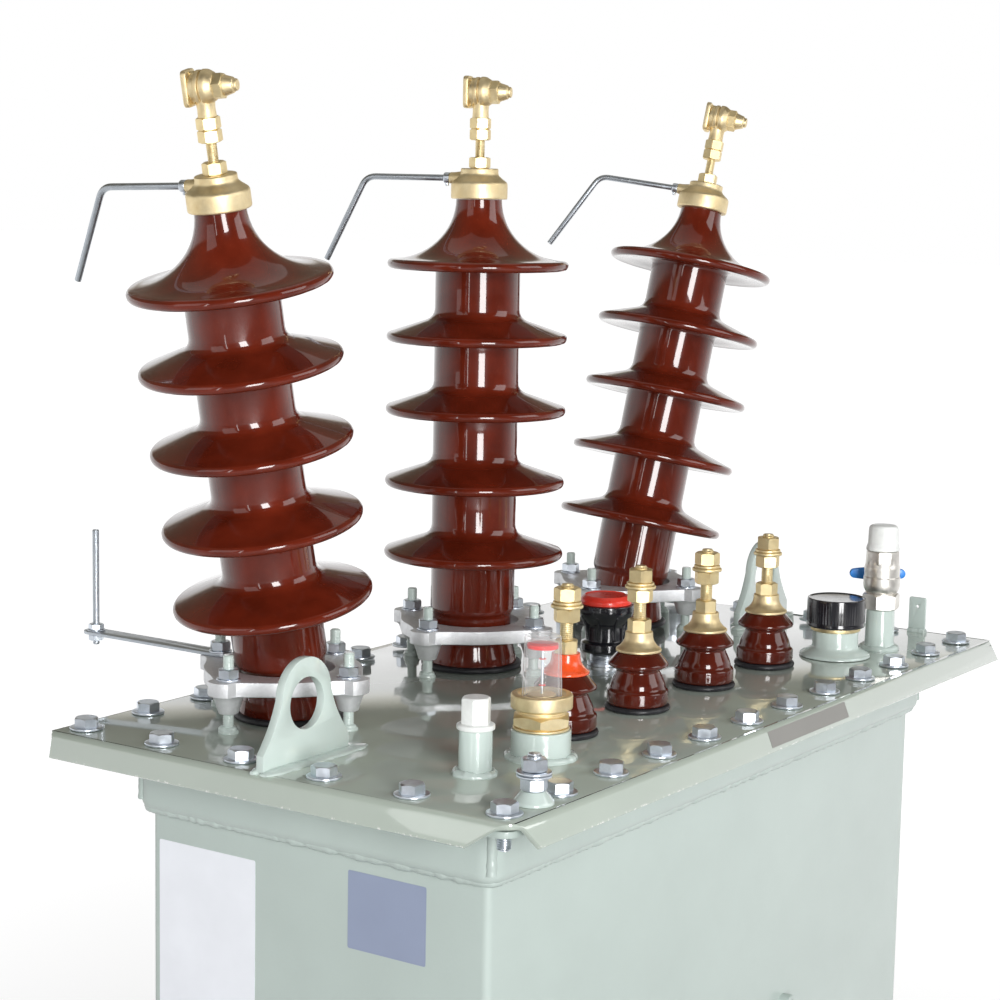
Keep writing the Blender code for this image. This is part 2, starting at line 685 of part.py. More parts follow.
def build_hv_terminal(name, x, brass):
    """Stepped cap, nut, stud, coupling nuts and the pin clamp head, with the horn's side boss."""
    frame = bushing_matrix(x) @ at(0, 0, HV_NECK_HEIGHT + GAP)
    nut_base = CAP_HEIGHT
    bare_top = nut_base + CAP_NUT_HEIGHT + STUD_BARE
    neck_base = bare_top + 2 * NECK_NUT_HEIGHT
    head_height = neck_base + NECK_LENGTH + HEAD_RADIUS - OVERLAP
    profile = [(0.0, 0.0), (CAP_RADIUS, 0.0), (CAP_RADIUS, CAP_SKIRT),
               (CAP_RADIUS - CAP_STEP, CAP_SKIRT + CAP_STEP), (CAP_HUB_RADIUS + CAP_STEP, CAP_SHOULDER),
               (CAP_HUB_RADIUS, CAP_SHOULDER + CAP_STEP), (CAP_HUB_RADIUS, CAP_HEIGHT - CAP_BEVEL),
               (CAP_HUB_RADIUS - CAP_BEVEL, CAP_HEIGHT),
               (TERMINAL_STUD_RADIUS, CAP_HEIGHT), (TERMINAL_STUD_RADIUS, bare_top + OVERLAP),
               (NECK_RADIUS, bare_top + OVERLAP), (NECK_RADIUS, head_height), (0.0, head_height)]
    terminal = turned(name, profile, SMALL_ROUND, brass)
    level = Matrix.Identity(4)
    fuse(terminal, hexagon(NUT_CORNER_RADIUS, nut_base - OVERLAP, nut_base + CAP_NUT_HEIGHT, brass, level, 0.2))
    lower_top = bare_top + NECK_NUT_HEIGHT - GAP
    fuse(terminal, hexagon(NUT_CORNER_RADIUS, bare_top, lower_top, brass, level, 0.3))
    fuse(terminal, hexagon(NUT_CORNER_RADIUS, lower_top + GAP, neck_base, brass, level, 0.3))
    along = Matrix.Rotation(PIN_TURN, 4, "Z") @ Matrix.Rotation(math.pi / 2, 4, "Y")
    head = at(0, 0, head_height) @ along
    half = HEAD_LENGTH / 2
    front = half + PIN_NUT_LENGTH
    waist = HEAD_RADIUS - HEAD_STEP
    profile = [(0.0, -half), (HEAD_RADIUS - HEAD_TAPER, -half), (waist, 2 * HEAD_STEP - half),
               (waist, -2 * HEAD_STEP), (HEAD_RADIUS, -HEAD_STEP), (HEAD_RADIUS, 4 * HEAD_STEP),
               (HEAD_RADIUS - HEAD_TAPER, half), (PIN_RADIUS, half), (PIN_RADIUS, front + PIN_LENGTH - HEAD_STEP),
               (PIN_RADIUS - HEAD_STEP, front + PIN_LENGTH), (0.0, front + PIN_LENGTH)]
    fuse(terminal, turned("head", profile, SMALL_ROUND, brass, head))
    fuse(terminal, hexagon(PIN_NUT_RADIUS, half - OVERLAP, front, brass, head, 0.1))
    plate = (HEAD_PLATE_LENGTH, HEAD_PLATE_WIDTH, HEAD_PLATE_THICKNESS)
    fuse(terminal, block(plate, (0, 0, -half - HEAD_PLATE_THICKNESS / 2 + OVERLAP), brass, head))
    sideways = at(0, 0, horn_height()) @ horn_turn(x) @ Matrix.Rotation(-math.pi / 2, 4, "X")
    fuse(terminal, cylinder(HORN_BOSS_RADIUS, CAP_HUB_RADIUS - 0.004, HORN_BOSS_REACH, STUD_ROUND, brass, sideways))
    terminal.data.transform(frame)


def horn_height():
    """Height of the horn's boss above the cap's underside."""
    return CAP_HEIGHT - HORN_BOSS_RADIUS - HORN_BELOW_CAP_TOP


def horn_turn(x):
    """How far the horn stands turned from straight back."""
    return Matrix.Rotation(HORN_TURN[bushing_order(x)], 4, "Z")


def bent_path(first, corner, last, bend):
    """A straight run, a rounded corner and a second straight run."""
    into = (corner - first).normalized()
    out = (last - corner).normalized()
    start, end = corner - into * bend, corner + out * bend
    steps = 5
    points = [first]
    for i in range(steps + 1):
        t = i / steps
        points.append(start * (1 - t) ** 2 + corner * 2 * t * (1 - t) + end * t ** 2)
    return points + [last]


def build_upper_horn(name, x, zinc):
    frame = bushing_matrix(x) @ at(0, 0, HV_NECK_HEIGHT + GAP + horn_height()) @ horn_turn(x)
    first = Vector((0, HORN_BOSS_REACH + GAP, 0))
    corner = Vector((0, HORN_REACH, 0))
    last = Vector((0, HORN_REACH + HORN_OUT, -HORN_DROP))
    path = [frame @ point for point in bent_path(first, corner, last, HORN_BEND)]
    swept_rod(name, path, HORN_RADIUS, 1, zinc)


def build_lower_horn(name, x, zinc):
    """A flat strip held under the rear stud's nut, with an upright rod at its far end."""
    centre_x, centre_y = clamp_centre(x)
    stud_y = centre_y + CLAMP_STUD_CIRCLE
    base = COVER_TOP + CLAMP_UNDERSIDE + CLAMP_THICKNESS + GAP
    half = LOWER_STRIP_WIDTH / 2
    length = LOWER_STRIP_LENGTH
    outline = arc_points((0, 0), half, math.pi, 2 * math.pi, ARC_STEPS)
    outline += arc_points((0, length), half, 0, math.pi, ARC_STEPS)
    strip = extruded(name, outline, LOWER_STRIP_THICKNESS, zinc, at(centre_x, stud_y, base))
    hole = cylinder(STUD_RADIUS + GAP, base - half, base + half, BOLT_ROUND, zinc, at(centre_x, stud_y, 0))
    cut(strip, hole)
    rod = at(centre_x, stud_y + length - LOWER_ROD_INSET, 0)
    low = base - LOWER_ROD_TAIL
    fuse(strip, cylinder(LOWER_ROD_RADIUS, low, low + LOWER_ROD_HEIGHT, BOLT_ROUND, zinc, rod))
    top = base + LOWER_STRIP_THICKNESS
    fuse(strip, hexagon(LOWER_NUT_RADIUS, top - GAP, top + LOWER_NUT_HEIGHT, zinc, rod))
    fuse(strip, hexagon(LOWER_NUT_RADIUS, base - LOWER_NUT_HEIGHT, base + GAP, zinc, rod))


def build_low_voltage(number, x, glaze, brass, rubber):
    place = at(x, LV_Y, ON_COVER)
    profile = [(0.0, 0.0), (LV_SEAT_RADIUS, 0.0), (LV_SEAT_RADIUS, LV_SEAT_THICKNESS), (0.0, LV_SEAT_THICKNESS)]
    turned(f"lv_seat_{number}", profile, SMALL_ROUND, rubber, place)
    base = LV_SEAT_THICKNESS + GAP
    profile = [(0.0, base), (LV_FOOT_RADIUS, base), (LV_FOOT_RADIUS, base + LV_FOOT_HEIGHT - 0.002),
               (LV_BODY_RADIUS, base + LV_FOOT_HEIGHT), (LV_WAIST_RADIUS, LV_WAIST_HEIGHT),
               (LV_SHED_RADIUS - 0.002, LV_SHED_HEIGHT - 0.003), (LV_SHED_RADIUS, LV_SHED_HEIGHT - 0.001),
               (LV_SHED_RADIUS - 0.0015, LV_SHED_HEIGHT + 0.001), (LV_TOP_RADIUS, LV_TOP_HEIGHT),
               (0.0, LV_TOP_HEIGHT)]
    turned(f"lv_porcelain_{number}", profile, SMALL_ROUND, glaze, place)
    build_lv_terminal(f"lv_terminal_{number}", place @ at(0, 0, LV_TOP_HEIGHT + GAP), number, brass)


def build_lv_terminal(name, place, number, brass):
    """Bell cap, lower nut, bare stud, and two nuts with washers between them."""
    lower = LV_CAP_HEIGHT
    bare = lower + LV_LOWER_NUT
    clamp = bare + LV_STUD_BARE
    washers = clamp + LV_CLAMP_NUT
    upper = washers + LV_WASHER_STACK
    tip = upper + LV_CLAMP_NUT
    profile = [(0.0, 0.0), (LV_CAP_RADIUS - 0.001, 0.0), (LV_CAP_RADIUS, LV_CAP_RIM),
               (LV_CAP_RADIUS - 0.005, LV_CAP_RIM + 0.003), (LV_CAP_HUB_RADIUS, LV_CAP_CONE),
               (LV_CAP_HUB_RADIUS - 0.0005, LV_CAP_HEIGHT), (LV_STUD_RADIUS, LV_CAP_HEIGHT),
               (LV_STUD_RADIUS, washers), (LV_WASHER_RADIUS, washers), (LV_WASHER_RADIUS, upper),
               (LV_STUD_RADIUS, upper), (LV_STUD_RADIUS, tip + LV_STUD_TIP - 0.001),
               (LV_STUD_RADIUS - 0.001, tip + LV_STUD_TIP), (0.0, tip + LV_STUD_TIP)]
    terminal = turned(name, profile, BOLT_ROUND, brass)
    level = Matrix.Identity(4)
    turn = 0.5 * number
    fuse(terminal, hexagon(LV_NUT_RADIUS - 0.001, lower - OVERLAP, bare, brass, level, turn))
    fuse(terminal, hexagon(LV_NUT_RADIUS, clamp, washers + OVERLAP, brass, level, turn + 0.3))
    fuse(terminal, hexagon(LV_NUT_RADIUS, upper - OVERLAP, tip, brass, level, turn + 0.6))
    terminal.data.transform(place)


def build_filler(paint, plastic):
    place = at(FILLER_X, FILLER_Y, ON_COVER)
    profile = [(0.0, 0.0), (FILLER_RADIUS, 0.0), (FILLER_RADIUS, FILLER_HEIGHT), (0.0, FILLER_HEIGHT)]
    turned("filler_stub", profile, SMALL_ROUND, paint, place)
    low = FILLER_HEIGHT + GAP
    profile = [(0.0, low), (PLUG_FLANGE_RADIUS, low), (PLUG_FLANGE_RADIUS, low + PLUG_FLANGE_HEIGHT),
               (0.0, low + PLUG_FLANGE_HEIGHT)]
    plug = turned("filler_plug", profile, SMALL_ROUND, plastic)
    top = low + PLUG_HEIGHT
    level = Matrix.Identity(4)
    fuse(plug, hexagon(PLUG_CORNER_RADIUS, low + PLUG_FLANGE_HEIGHT - OVERLAP, top, plastic, level, 0.4))
    plug.data.transform(place)


def build_gauge(paint, brass, glass):
    place = at(GAUGE_X, GAUGE_Y, ON_COVER)
    profile = [(0.0, 0.0), (GAUGE_SOCKET_RADIUS, 0.0), (GAUGE_SOCKET_RADIUS, GAUGE_SOCKET_HEIGHT),
               (0.0, GAUGE_SOCKET_HEIGHT)]
    turned("gauge_socket", profile, SMALL_ROUND, paint, place)
    low = GAUGE_SOCKET_HEIGHT + GAP
    groove = low + GAUGE_NUT_HEIGHT
    ring = groove + GAUGE_GROOVE
    top = ring + GAUGE_RING_HEIGHT
    seat = top - GAUGE_GLASS_SEAT
    bore = GAUGE_GLASS_RADIUS + GAP
    profile = [(0.0, low), (GAUGE_NUT_RADIUS - 0.003, low), (GAUGE_NUT_RADIUS - 0.003, ring),
               (GAUGE_RING_RADIUS, ring), (GAUGE_RING_RADIUS, top - 0.002), (GAUGE_RING_RADIUS - 0.002, top),
               (bore, top), (bore, seat), (0.0, seat)]
    nuts = turned("gauge_nut", profile, LARGE_ROUND, brass)
    fuse(nuts, hexagon(GAUGE_NUT_RADIUS, low + OVERLAP, groove, brass, Matrix.Identity(4), 0.15))
    nuts.data.transform(place)
    base = seat + GAP
    high = base + GAUGE_GLASS_HEIGHT
    profile = [(0.0, base), (GAUGE_GLASS_RADIUS, base), (GAUGE_GLASS_TOP_RADIUS, high - 0.003),
               (GAUGE_GLASS_TOP_RADIUS - 0.003, high), (0.0, high)]
    turned("gauge_glass", profile, SMALL_ROUND, glass, place)


def build_relief(steel, black, red):
    place = at(RELIEF_X, RELIEF_Y, ON_COVER)
    collar = RELIEF_THREAD_HEIGHT + RELIEF_COLLAR_HEIGHT
    top = collar + RELIEF_BODY_HEIGHT
    profile = [(0.0, 0.0), (RELIEF_THREAD_RADIUS, 0.0), (RELIEF_THREAD_RADIUS, RELIEF_THREAD_HEIGHT),
               (0.0, RELIEF_THREAD_HEIGHT)]
    turned("relief_adapter", profile, SMALL_ROUND, steel, place)
    low = RELIEF_THREAD_HEIGHT + GAP
    profile = [(0.0, low), (RELIEF_COLLAR_RADIUS, low), (RELIEF_COLLAR_RADIUS, collar),
               (RELIEF_WAIST_RADIUS, collar + 0.001), (RELIEF_WAIST_RADIUS, top - 0.016),
               (RELIEF_BODY_RADIUS, top - 0.006), (RELIEF_BODY_RADIUS, top), (0.0, top)]
    turned("relief_body", profile, SMALL_ROUND, black, place)
    high = top + GAP + RELIEF_DISC_HEIGHT
    profile = [(0.0, top + GAP), (RELIEF_DISC_RADIUS, top + GAP), (RELIEF_DISC_RADIUS, high - 0.003),
               (RELIEF_DISC_RADIUS - 0.004, high), (0.0, high - 0.001)]
    turned("relief_disc", profile, SMALL_ROUND, red, place)


def build_pocket(paint, brass, black):
    place = at(POCKET_X, POCKET_Y, ON_COVER)
    profile = [(0.0, 0.0), (POCKET_COLLAR_RADIUS, 0.0), (POCKET_COLLAR_RADIUS - 0.003, POCKET_COLLAR_HEIGHT),
               (POCKET_RADIUS, POCKET_COLLAR_HEIGHT + 0.003), (POCKET_RADIUS, POCKET_HEIGHT), (0.0, POCKET_HEIGHT)]
    turned("pocket_socket", profile, LARGE_ROUND, paint, place)
    low = POCKET_HEIGHT + GAP
    high = low + POCKET_RING_HEIGHT
    profile = [(0.0, low), (POCKET_RING_RADIUS, low), (POCKET_RING_RADIUS, high), (0.0, high)]
    turned("pocket_ring", profile, LARGE_ROUND, brass, place)
    low = high + GAP
    high = low + POCKET_CAP_HEIGHT
    profile = [(0.0, low), (POCKET_CAP_RADIUS, low), (POCKET_CAP_RADIUS, high - 0.002),
               (POCKET_CAP_RADIUS - 0.002, high), (POCKET_CAP_RADIUS - 0.005, high),
               (POCKET_CAP_RADIUS - 0.006, high - 0.002), (0.0, high - 0.002)]
    turned("pocket_cap", profile, LARGE_ROUND, black, place)


def valve_levels():
    """Heights of the valve's steps above the pipe stub's foot."""
    hex_low = VALVE_STUB_HEIGHT + GAP
    ball_low = hex_low + VALVE_HEX_HEIGHT
    top_low = ball_low + VALVE_BALL_HEIGHT
    cap_low = top_low + VALVE_TOP_HEIGHT
    return hex_low, ball_low, top_low, cap_low


def stem_matrix():
    """The stem's frame: its Z runs out along the handle's turning axis."""
    _, ball_low, _, _ = valve_levels()
    centre = at(VALVE_X, VALVE_Y, ON_COVER + ball_low + VALVE_BALL_HEIGHT / 2)
    return centre @ Matrix.Rotation(VALVE_TURN, 4, "Z") @ Matrix.Rotation(math.pi / 2, 4, "Y")


def build_valve(paint, nickel, plastic, blue):
    place = at(VALVE_X, VALVE_Y, ON_COVER)
    hex_low, ball_low, top_low, cap_low = valve_levels()
    profile = [(0.0, 0.0), (VALVE_STUB_RADIUS + 0.004, 0.0), (VALVE_STUB_RADIUS, 0.006),
               (VALVE_STUB_RADIUS, VALVE_STUB_HEIGHT), (0.0, VALVE_STUB_HEIGHT)]
    turned("valve_stub", profile, SMALL_ROUND, paint, place)
    middle = ball_low + VALVE_BALL_HEIGHT / 2
    profile = [(0.0, hex_low), (VALVE_STUB_RADIUS, hex_low), (VALVE_STUB_RADIUS, ball_low)]
    bulge = [(-1.0, 0.86), (-0.7, 0.95), (0.0, 1.0), (0.7, 0.96), (1.0, 0.92)]
    profile += [(VALVE_BALL_RADIUS * width, middle + VALVE_BALL_HEIGHT / 2 * side) for side, width in bulge]
    profile += [(VALVE_TOP_RADIUS - 0.002, top_low + OVERLAP), (VALVE_TOP_RADIUS - 0.002, cap_low), (0.0, cap_low)]
    body = turned("valve_body", profile, SMALL_ROUND, nickel, place)
    fuse(body, hexagon(VALVE_HEX_RADIUS, hex_low + GAP, ball_low + OVERLAP, nickel, place, 0.2))
    upper = extruded("upper", ring_points(VALVE_TOP_RADIUS, 8, 0.2), VALVE_TOP_HEIGHT - GAP, nickel)
    upper.data.transform(place @ at(0, 0, top_low))
    fuse(body, upper)
    fuse(body, cylinder(STEM_RADIUS, 0.010, STEM_LENGTH, BOLT_ROUND, nickel, stem_matrix()))
    low = cap_low + GAP
    high = low + VALVE_CAP_HEIGHT
    profile = [(0.0, low), (VALVE_CAP_RADIUS + 0.001, low), (VALVE_CAP_RADIUS, low + 0.004),
               (VALVE_CAP_RADIUS - 0.0015, high - 0.002), (VALVE_CAP_RADIUS - 0.0035, high), (0.0, high)]
    turned("valve_cap", profile, SMALL_ROUND, plastic, place)
    build_handle(blue)


def build_handle(blue):
    """A butterfly handle: a hub on the stem with two wings, square to the pipe when shut."""
    hub_low = VALVE_BALL_RADIUS + HANDLE_CLEARANCE
    outline = []
    half = HANDLE_SPAN / 2 - HANDLE_WIDTH / 2
    outline += arc_points((0, half), HANDLE_WIDTH / 2, 0, math.pi, ARC_STEPS)
    outline += arc_points((0, -half), HANDLE_WIDTH / 2, math.pi, 2 * math.pi, ARC_STEPS)
    handle = extruded("valve_handle", outline, HANDLE_THICKNESS, blue, at(0, 0, hub_low))
    hub_high = hub_low + HANDLE_THICKNESS + 0.001
    fuse(handle, cylinder(HANDLE_HUB_RADIUS, hub_low - GAP, hub_high, SMALL_ROUND, blue))
    cut(handle, cylinder(STEM_RADIUS + HANDLE_FIT, 0.0, 2 * STEM_LENGTH, BOLT_ROUND, blue))
    handle.matrix_world = stem_matrix()


def lug_outline():
    """Foot, hollow flanks and a round head, as half-widths over height."""
    half = LUG_FOOT_WIDTH / 2
    steps = 5
    flank = []
    for i in range(1, steps):
        t = i / steps
        across = half + (LUG_HEAD_RADIUS - half) * t - LUG_HOLLOW * math.sin(math.pi * t)
        flank.append((across, LUG_FOOT_HEIGHT + (LUG_HEAD_HEIGHT - LUG_FOOT_HEIGHT) * t))
    head = arc_points((0, LUG_HEAD_HEIGHT), LUG_HEAD_RADIUS, 0, math.pi, 8)
    left = [(-x, z) for x, z in reversed(flank)]
    return [(-half, 0.0), (half, 0.0), (half, LUG_FOOT_HEIGHT)] + flank + head + left + [(-half, LUG_FOOT_HEIGHT)]


def build_lug(name, side, paint):
    centre = side * (COVER_LENGTH / 2 - LUG_EDGE_INSET - LUG_FOOT_WIDTH / 2)
    upright = at(centre, LUG_FRONT_Y + LUG_THICKNESS, ON_COVER) @ Matrix.Rotation(math.pi / 2, 4, "X")
    lug = extruded(name, lug_outline(), LUG_THICKNESS, paint, upright)
    eye = upright @ at(0, LUG_EYE_HEIGHT, 0)
    cut(lug, cylinder(LUG_EYE_RADIUS, -LUG_THICKNESS, 2 * LUG_THICKNESS, LARGE_ROUND, paint, eye))


def build_tab(paint):
    size = (TAB_THICKNESS, TAB_WIDTH, TAB_HEIGHT)
    tab = block(size, (TAB_X, TAB_Y, ON_COVER + TAB_HEIGHT / 2), paint)
    tab.name = "earth_tab"
    hole = at(TAB_X, TAB_Y, ON_COVER + TAB_HEIGHT - TAB_HOLE_INSET) @ Matrix.Rotation(math.pi / 2, 4, "Y")
    cut(tab, cylinder(TAB_HOLE_RADIUS, -2 * TAB_THICKNESS, 2 * TAB_THICKNESS, BOLT_ROUND, paint, hole))


def main():
    clear_scene()
    paint = make_material("grey_green_paint", (0.50, 0.57, 0.52), 0.35)
    glaze = make_material("brown_glaze", (0.16, 0.03, 0.015), 0.12)
    brass = make_material("brass", (0.78, 0.60, 0.32), 0.3, 1.0)
    zinc = make_material("zinc_plate", (0.62, 0.66, 0.70), 0.35, 1.0)
    aluminium = make_material("cast_aluminium", (0.80, 0.81, 0.82), 0.4, 1.0)
    nickel = make_material("nickel_plate", (0.72, 0.70, 0.67), 0.25, 1.0)
    rubber = make_material("black_rubber", (0.02, 0.02, 0.025), 0.5)
    black = make_material("black_plastic", (0.015, 0.015, 0.02), 0.3)
    white = make_material("white_plastic", (0.85, 0.86, 0.83), 0.4)
    red = make_material("red_plastic", (0.75, 0.03, 0.02), 0.35)
    blue = make_material("blue_plastic", (0.03, 0.20, 0.60), 0.4)
    glass = make_material("clear_plastic", (0.92, 0.93, 0.93), 0.08, 0.0, 0.9)
    build_tank(paint)
    build_foot("foot_left", -1, paint)
    build_foot("foot_right", 1, paint)
    build_rim(paint, rubber)
    build_cover(paint)
    build_earth_stud(paint)
    for side, x in (("left", -HV_SPACING), ("middle", 0.0), ("right", HV_SPACING)):
        build_hv_seat(f"hv_seat_{side}", x, rubber)
        build_porcelain(f"hv_porcelain_{side}", x, glaze)
        build_clamp_ring(f"hv_clamp_{side}", x, aluminium)
        build_hv_terminal(f"hv_terminal_{side}", x, brass)
        build_upper_horn(f"upper_horn_{side}", x, zinc)
    build_lower_horn("lower_horn", -HV_SPACING, zinc)
    for i in range(LV_COUNT):
        x = (i - (LV_COUNT - 1) / 2) * LV_PITCH
        build_low_voltage(i + 1, x, glaze, brass, rubber)
    build_filler(paint, white)
    build_gauge(paint, brass, glass)
    build_relief(zinc, black, red)
    build_pocket(paint, brass, black)
    build_valve(paint, nickel, white, blue)
    build_lug("lifting_lug_left", -1, paint)
    build_lug("lifting_lug_right", 1, paint)
    build_tab(paint)


main()
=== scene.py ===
"""Looks of a small oil-filled distribution transformer: enamelled tank and folded cover,
glazed bushings, brass terminals, zinc-plated fasteners, weld beads and cover fittings.
"""

import math

import bmesh
import bpy
from mathutils import Matrix, Vector


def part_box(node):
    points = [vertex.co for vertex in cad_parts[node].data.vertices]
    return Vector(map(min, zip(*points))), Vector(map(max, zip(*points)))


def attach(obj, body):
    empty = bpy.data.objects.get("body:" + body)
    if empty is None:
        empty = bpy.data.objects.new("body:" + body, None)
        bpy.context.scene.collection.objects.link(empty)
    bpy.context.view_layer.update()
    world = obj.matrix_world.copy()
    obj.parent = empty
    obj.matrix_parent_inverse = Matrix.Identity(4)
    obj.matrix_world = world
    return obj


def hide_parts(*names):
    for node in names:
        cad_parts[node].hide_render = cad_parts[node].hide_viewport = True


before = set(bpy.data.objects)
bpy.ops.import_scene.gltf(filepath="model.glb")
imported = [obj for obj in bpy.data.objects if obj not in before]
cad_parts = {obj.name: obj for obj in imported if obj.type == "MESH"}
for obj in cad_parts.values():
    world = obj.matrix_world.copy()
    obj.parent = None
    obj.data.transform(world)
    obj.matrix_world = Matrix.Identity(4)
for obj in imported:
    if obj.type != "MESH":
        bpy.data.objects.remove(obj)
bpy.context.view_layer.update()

TANK = "transformer"
HANDLE = "valve_handle"

# Levels and gaps
GAP = 0.0003
ON_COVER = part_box("lv_seat_1")[0].z
COVER_TOP = ON_COVER - GAP
TANK_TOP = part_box("rim_frame")[1].z

# Tank, rim and feet
TANK_LENGTH = 0.776
TANK_WIDTH = 0.356
TANK_CORNER = 0.007
FLOOR_LIP = 0.010
FLOOR_THICKNESS = 0.008
FOOT_LEG = 0.050
FOOT_THICKNESS = 0.006
SLOT_LENGTH = 0.024
SLOT_WIDTH = 0.014
SLOT_INSET = 0.060
WALL_BOSS_X = 0.122
WALL_BOSS_BELOW_COVER = 0.318
RIM_PROUD = 0.011
RIM_DEPTH = 0.063
RIM_THICKNESS = 0.006
RIM_CORNER = 0.012

# Cover
COVER_LENGTH = 0.902
COVER_WIDTH = 0.482
COVER_THICKNESS = 0.005
FOLD_RADIUS = 0.0048
FLANGE_OUT = 0.0085
FLANGE_DROP = 0.021
# For each corner its two sides, and how far the top, the long flange and the short flange stop short of it
COVER_CORNERS = (
    (1, -1, 0.004, -0.002, 0.002),
    (1, 1, 0.0105, 0.004, 0.004),
    (-1, 1, 0.007, 0.018, 0.011),
    (-1, -1, 0.0105, 0.027, 0.040),
)
BOLT_INSET = 0.024
LAST_BOLT_X = 0.414
LONG_SIDE_BOLTS = 12
SHORT_SIDE_BOLTS = 6
BOLT_RADIUS = 0.0059
BOLT_PITCH = 0.00175
BOLT_FLATS = 0.0188
BOLT_HEAD = 0.0080
BOLT_TAIL = 0.0115
WASHER_RADIUS = 0.0145
WASHER_BORE = 0.0062
WASHER_THICKNESS = 0.0022

# High-voltage bushings
HV_SPACING = 0.280
HV_Y = 0.114
BUSHINGS = (("left", -HV_SPACING), ("middle", 0.0), ("right", HV_SPACING))
LEAN_OUT = (math.radians(-11.4), 0.0, math.radians(11.9))
LEAN_FRONT = (math.radians(-0.4), 0.0, math.radians(4.1))
BARREL_RADIUS = 0.041
FOOT_RADIUS = 0.044
WAIST_RADIUS = 0.038
NECK_RADIUS = 0.022
NECK_HEIGHT = 0.4535
SHED_COUNT = 5
SHED_TOP_HEIGHT = 0.3915
SHED_PITCH = 0.0698
SHED_RADIUS = 0.0873
SHED_BEAD = 0.0048
SHED_RISE = 0.019
SHED_UNDERCUT = 0.006
SEAT_THICKNESS = 0.005

# Clamp rings
STUD_CIRCLE = 0.073
LOBE_RADIUS = 0.018
RING_BORE = 0.0455
RING_THICKNESS = 0.013
RING_UNDERSIDE = 0.033
RING_PINCH = 0.005
BOSS_TOP_RADIUS = 0.014
BOSS_FOOT_RADIUS = 0.0085
BOSS_HEIGHT = 0.016
STUD_RADIUS = 0.005
STUD_PITCH = 0.0015
STUD_HEIGHT = 0.068
STUD_WASHER = 0.0016
STUD_NUT = 0.0084
STUD_NUT_FLATS = 0.0165

# High-voltage terminals and horns
CAP_RADIUS = 0.027
CAP_SKIRT = 0.0155
CAP_SHOULDER = 0.021
CAP_HUB_RADIUS = 0.018
CAP_HEIGHT = 0.029
CAP_NUT_HEIGHT = 0.011
STUD_BARE = 0.0155
COUPLING_HEIGHT = 0.0105
COUPLING_NECK = 0.012
COUPLING_NECK_RADIUS = 0.008
TERMINAL_STUD_RADIUS = 0.0047
TERMINAL_FLATS = 0.0178
HEAD_RADIUS = 0.0132
HEAD_LENGTH = 0.022
HEAD_PLATE = 0.005
PIN_NUT_LENGTH = 0.009
PIN_RADIUS = 0.0056
PIN_LENGTH = 0.010
PIN_TURN = math.radians(-70.0)
HORN_RADIUS = 0.003
HORN_TURN = (math.radians(6.0), math.radians(13.0), math.radians(18.0))
HORN_REACH = 0.1185
HORN_OUT = 0.042
HORN_DROP = 0.0815
HORN_BEND = 0.010
HORN_BOSS_RADIUS = 0.0055
HORN_BOSS_REACH = 0.030
LOWER_STRIP_LENGTH = 0.155
LOWER_STRIP_WIDTH = 0.020
LOWER_STRIP_THICKNESS = 0.003
LOWER_ROD_RADIUS = 0.0033
LOWER_ROD_HEIGHT = 0.108

# Low-voltage bushings
LV_COUNT = 4
LV_PITCH = 0.122
LV_Y = -0.113
LV_TOP_HEIGHT = 0.053
LV_CAP_HEIGHT = 0.018
LV_LOWER_NUT = 0.0115
LV_STUD_BARE = 0.0155
LV_CLAMP_NUT = 0.012
LV_WASHER = 0.0032
LV_SMALL_WASHER = 0.0028
LV_STUD_TIP = 0.003
LV_STUD_RADIUS = 0.0058
LV_FLATS = 0.0204

# Cover fittings: heights from the cover or from the piece below
FILLER_PIPE = 0.037
FILLER_PLUG = 0.026
GAUGE_PIPE = 0.024
GAUGE_GROOVE = 0.013
GAUGE_RING = 0.017
GAUGE_NUTS = 0.030
GAUGE_TUBE = 0.052
RELIEF_THREAD = 0.013
RELIEF_TOP = 0.061
RELIEF_RIBS = 8
POCKET_PIPE = 0.026
POCKET_RING = 0.004
POCKET_CAP = 0.029
POCKET_RIBS = 60
VALVE_PIPE = 0.041
VALVE_HEXAGON = 0.017
VALVE_BALL = 0.030
VALVE_BALL_RADIUS = 0.0188
VALVE_OCTAGON = 0.014
VALVE_CAP = 0.026
VALVE_TURN = math.radians(34.4)
HANDLE_SPAN = 0.058
HANDLE_TIP = 0.005
HANDLE_WAIST = 0.0072
HANDLE_THICKNESS = 0.006
HANDLE_BORE = 0.0044
HANDLE_STANDS_OFF = 0.006

# Lifting lugs
LUG_FOOT_WIDTH = 0.110
LUG_FOOT_HEIGHT = 0.014
LUG_HOLLOW = 0.0025
LUG_HEAD_RADIUS = 0.0315
LUG_HEAD_HEIGHT = 0.055
LUG_THICKNESS = 0.008
LUG_EYE_RADIUS = 0.0215
LUG_EYE_HEIGHT = 0.0484
LUG_INSET = 0.056

# Stickers
STICKER_THICKNESS = 0.00025
STICKER_LIFT = 0.00005
STRIP_LENGTH = 0.152
STRIP_WIDTH = 0.0148
STRIP_X = 0.022
STRIP_DOWN = 0.0112

# Lamps: name, place, target, width, height and power
LAMPS = (
    ("window", (-3.6, -4.1, 1.40), (0.0, 0.0, 0.85), 1.6, 2.6, 245.0),
    ("fill", (1.0, -3.3, 2.4), (0.0, 0.0, 0.85), 2.2, 2.2, 42.0),
    ("side", (-3.4, 0.6, 1.9), (0.0, 0.0, 0.8), 1.8, 2.2, 14.0),
    ("strip", (-3.1, -0.55, 1.0), (0.0, 0.1, 0.9), 0.12, 1.8, 4.0),
    ("top", (0.4, 0.6, 3.6), (0.0, 0.0, 0.8), 2.6, 2.6, 7.0),
)

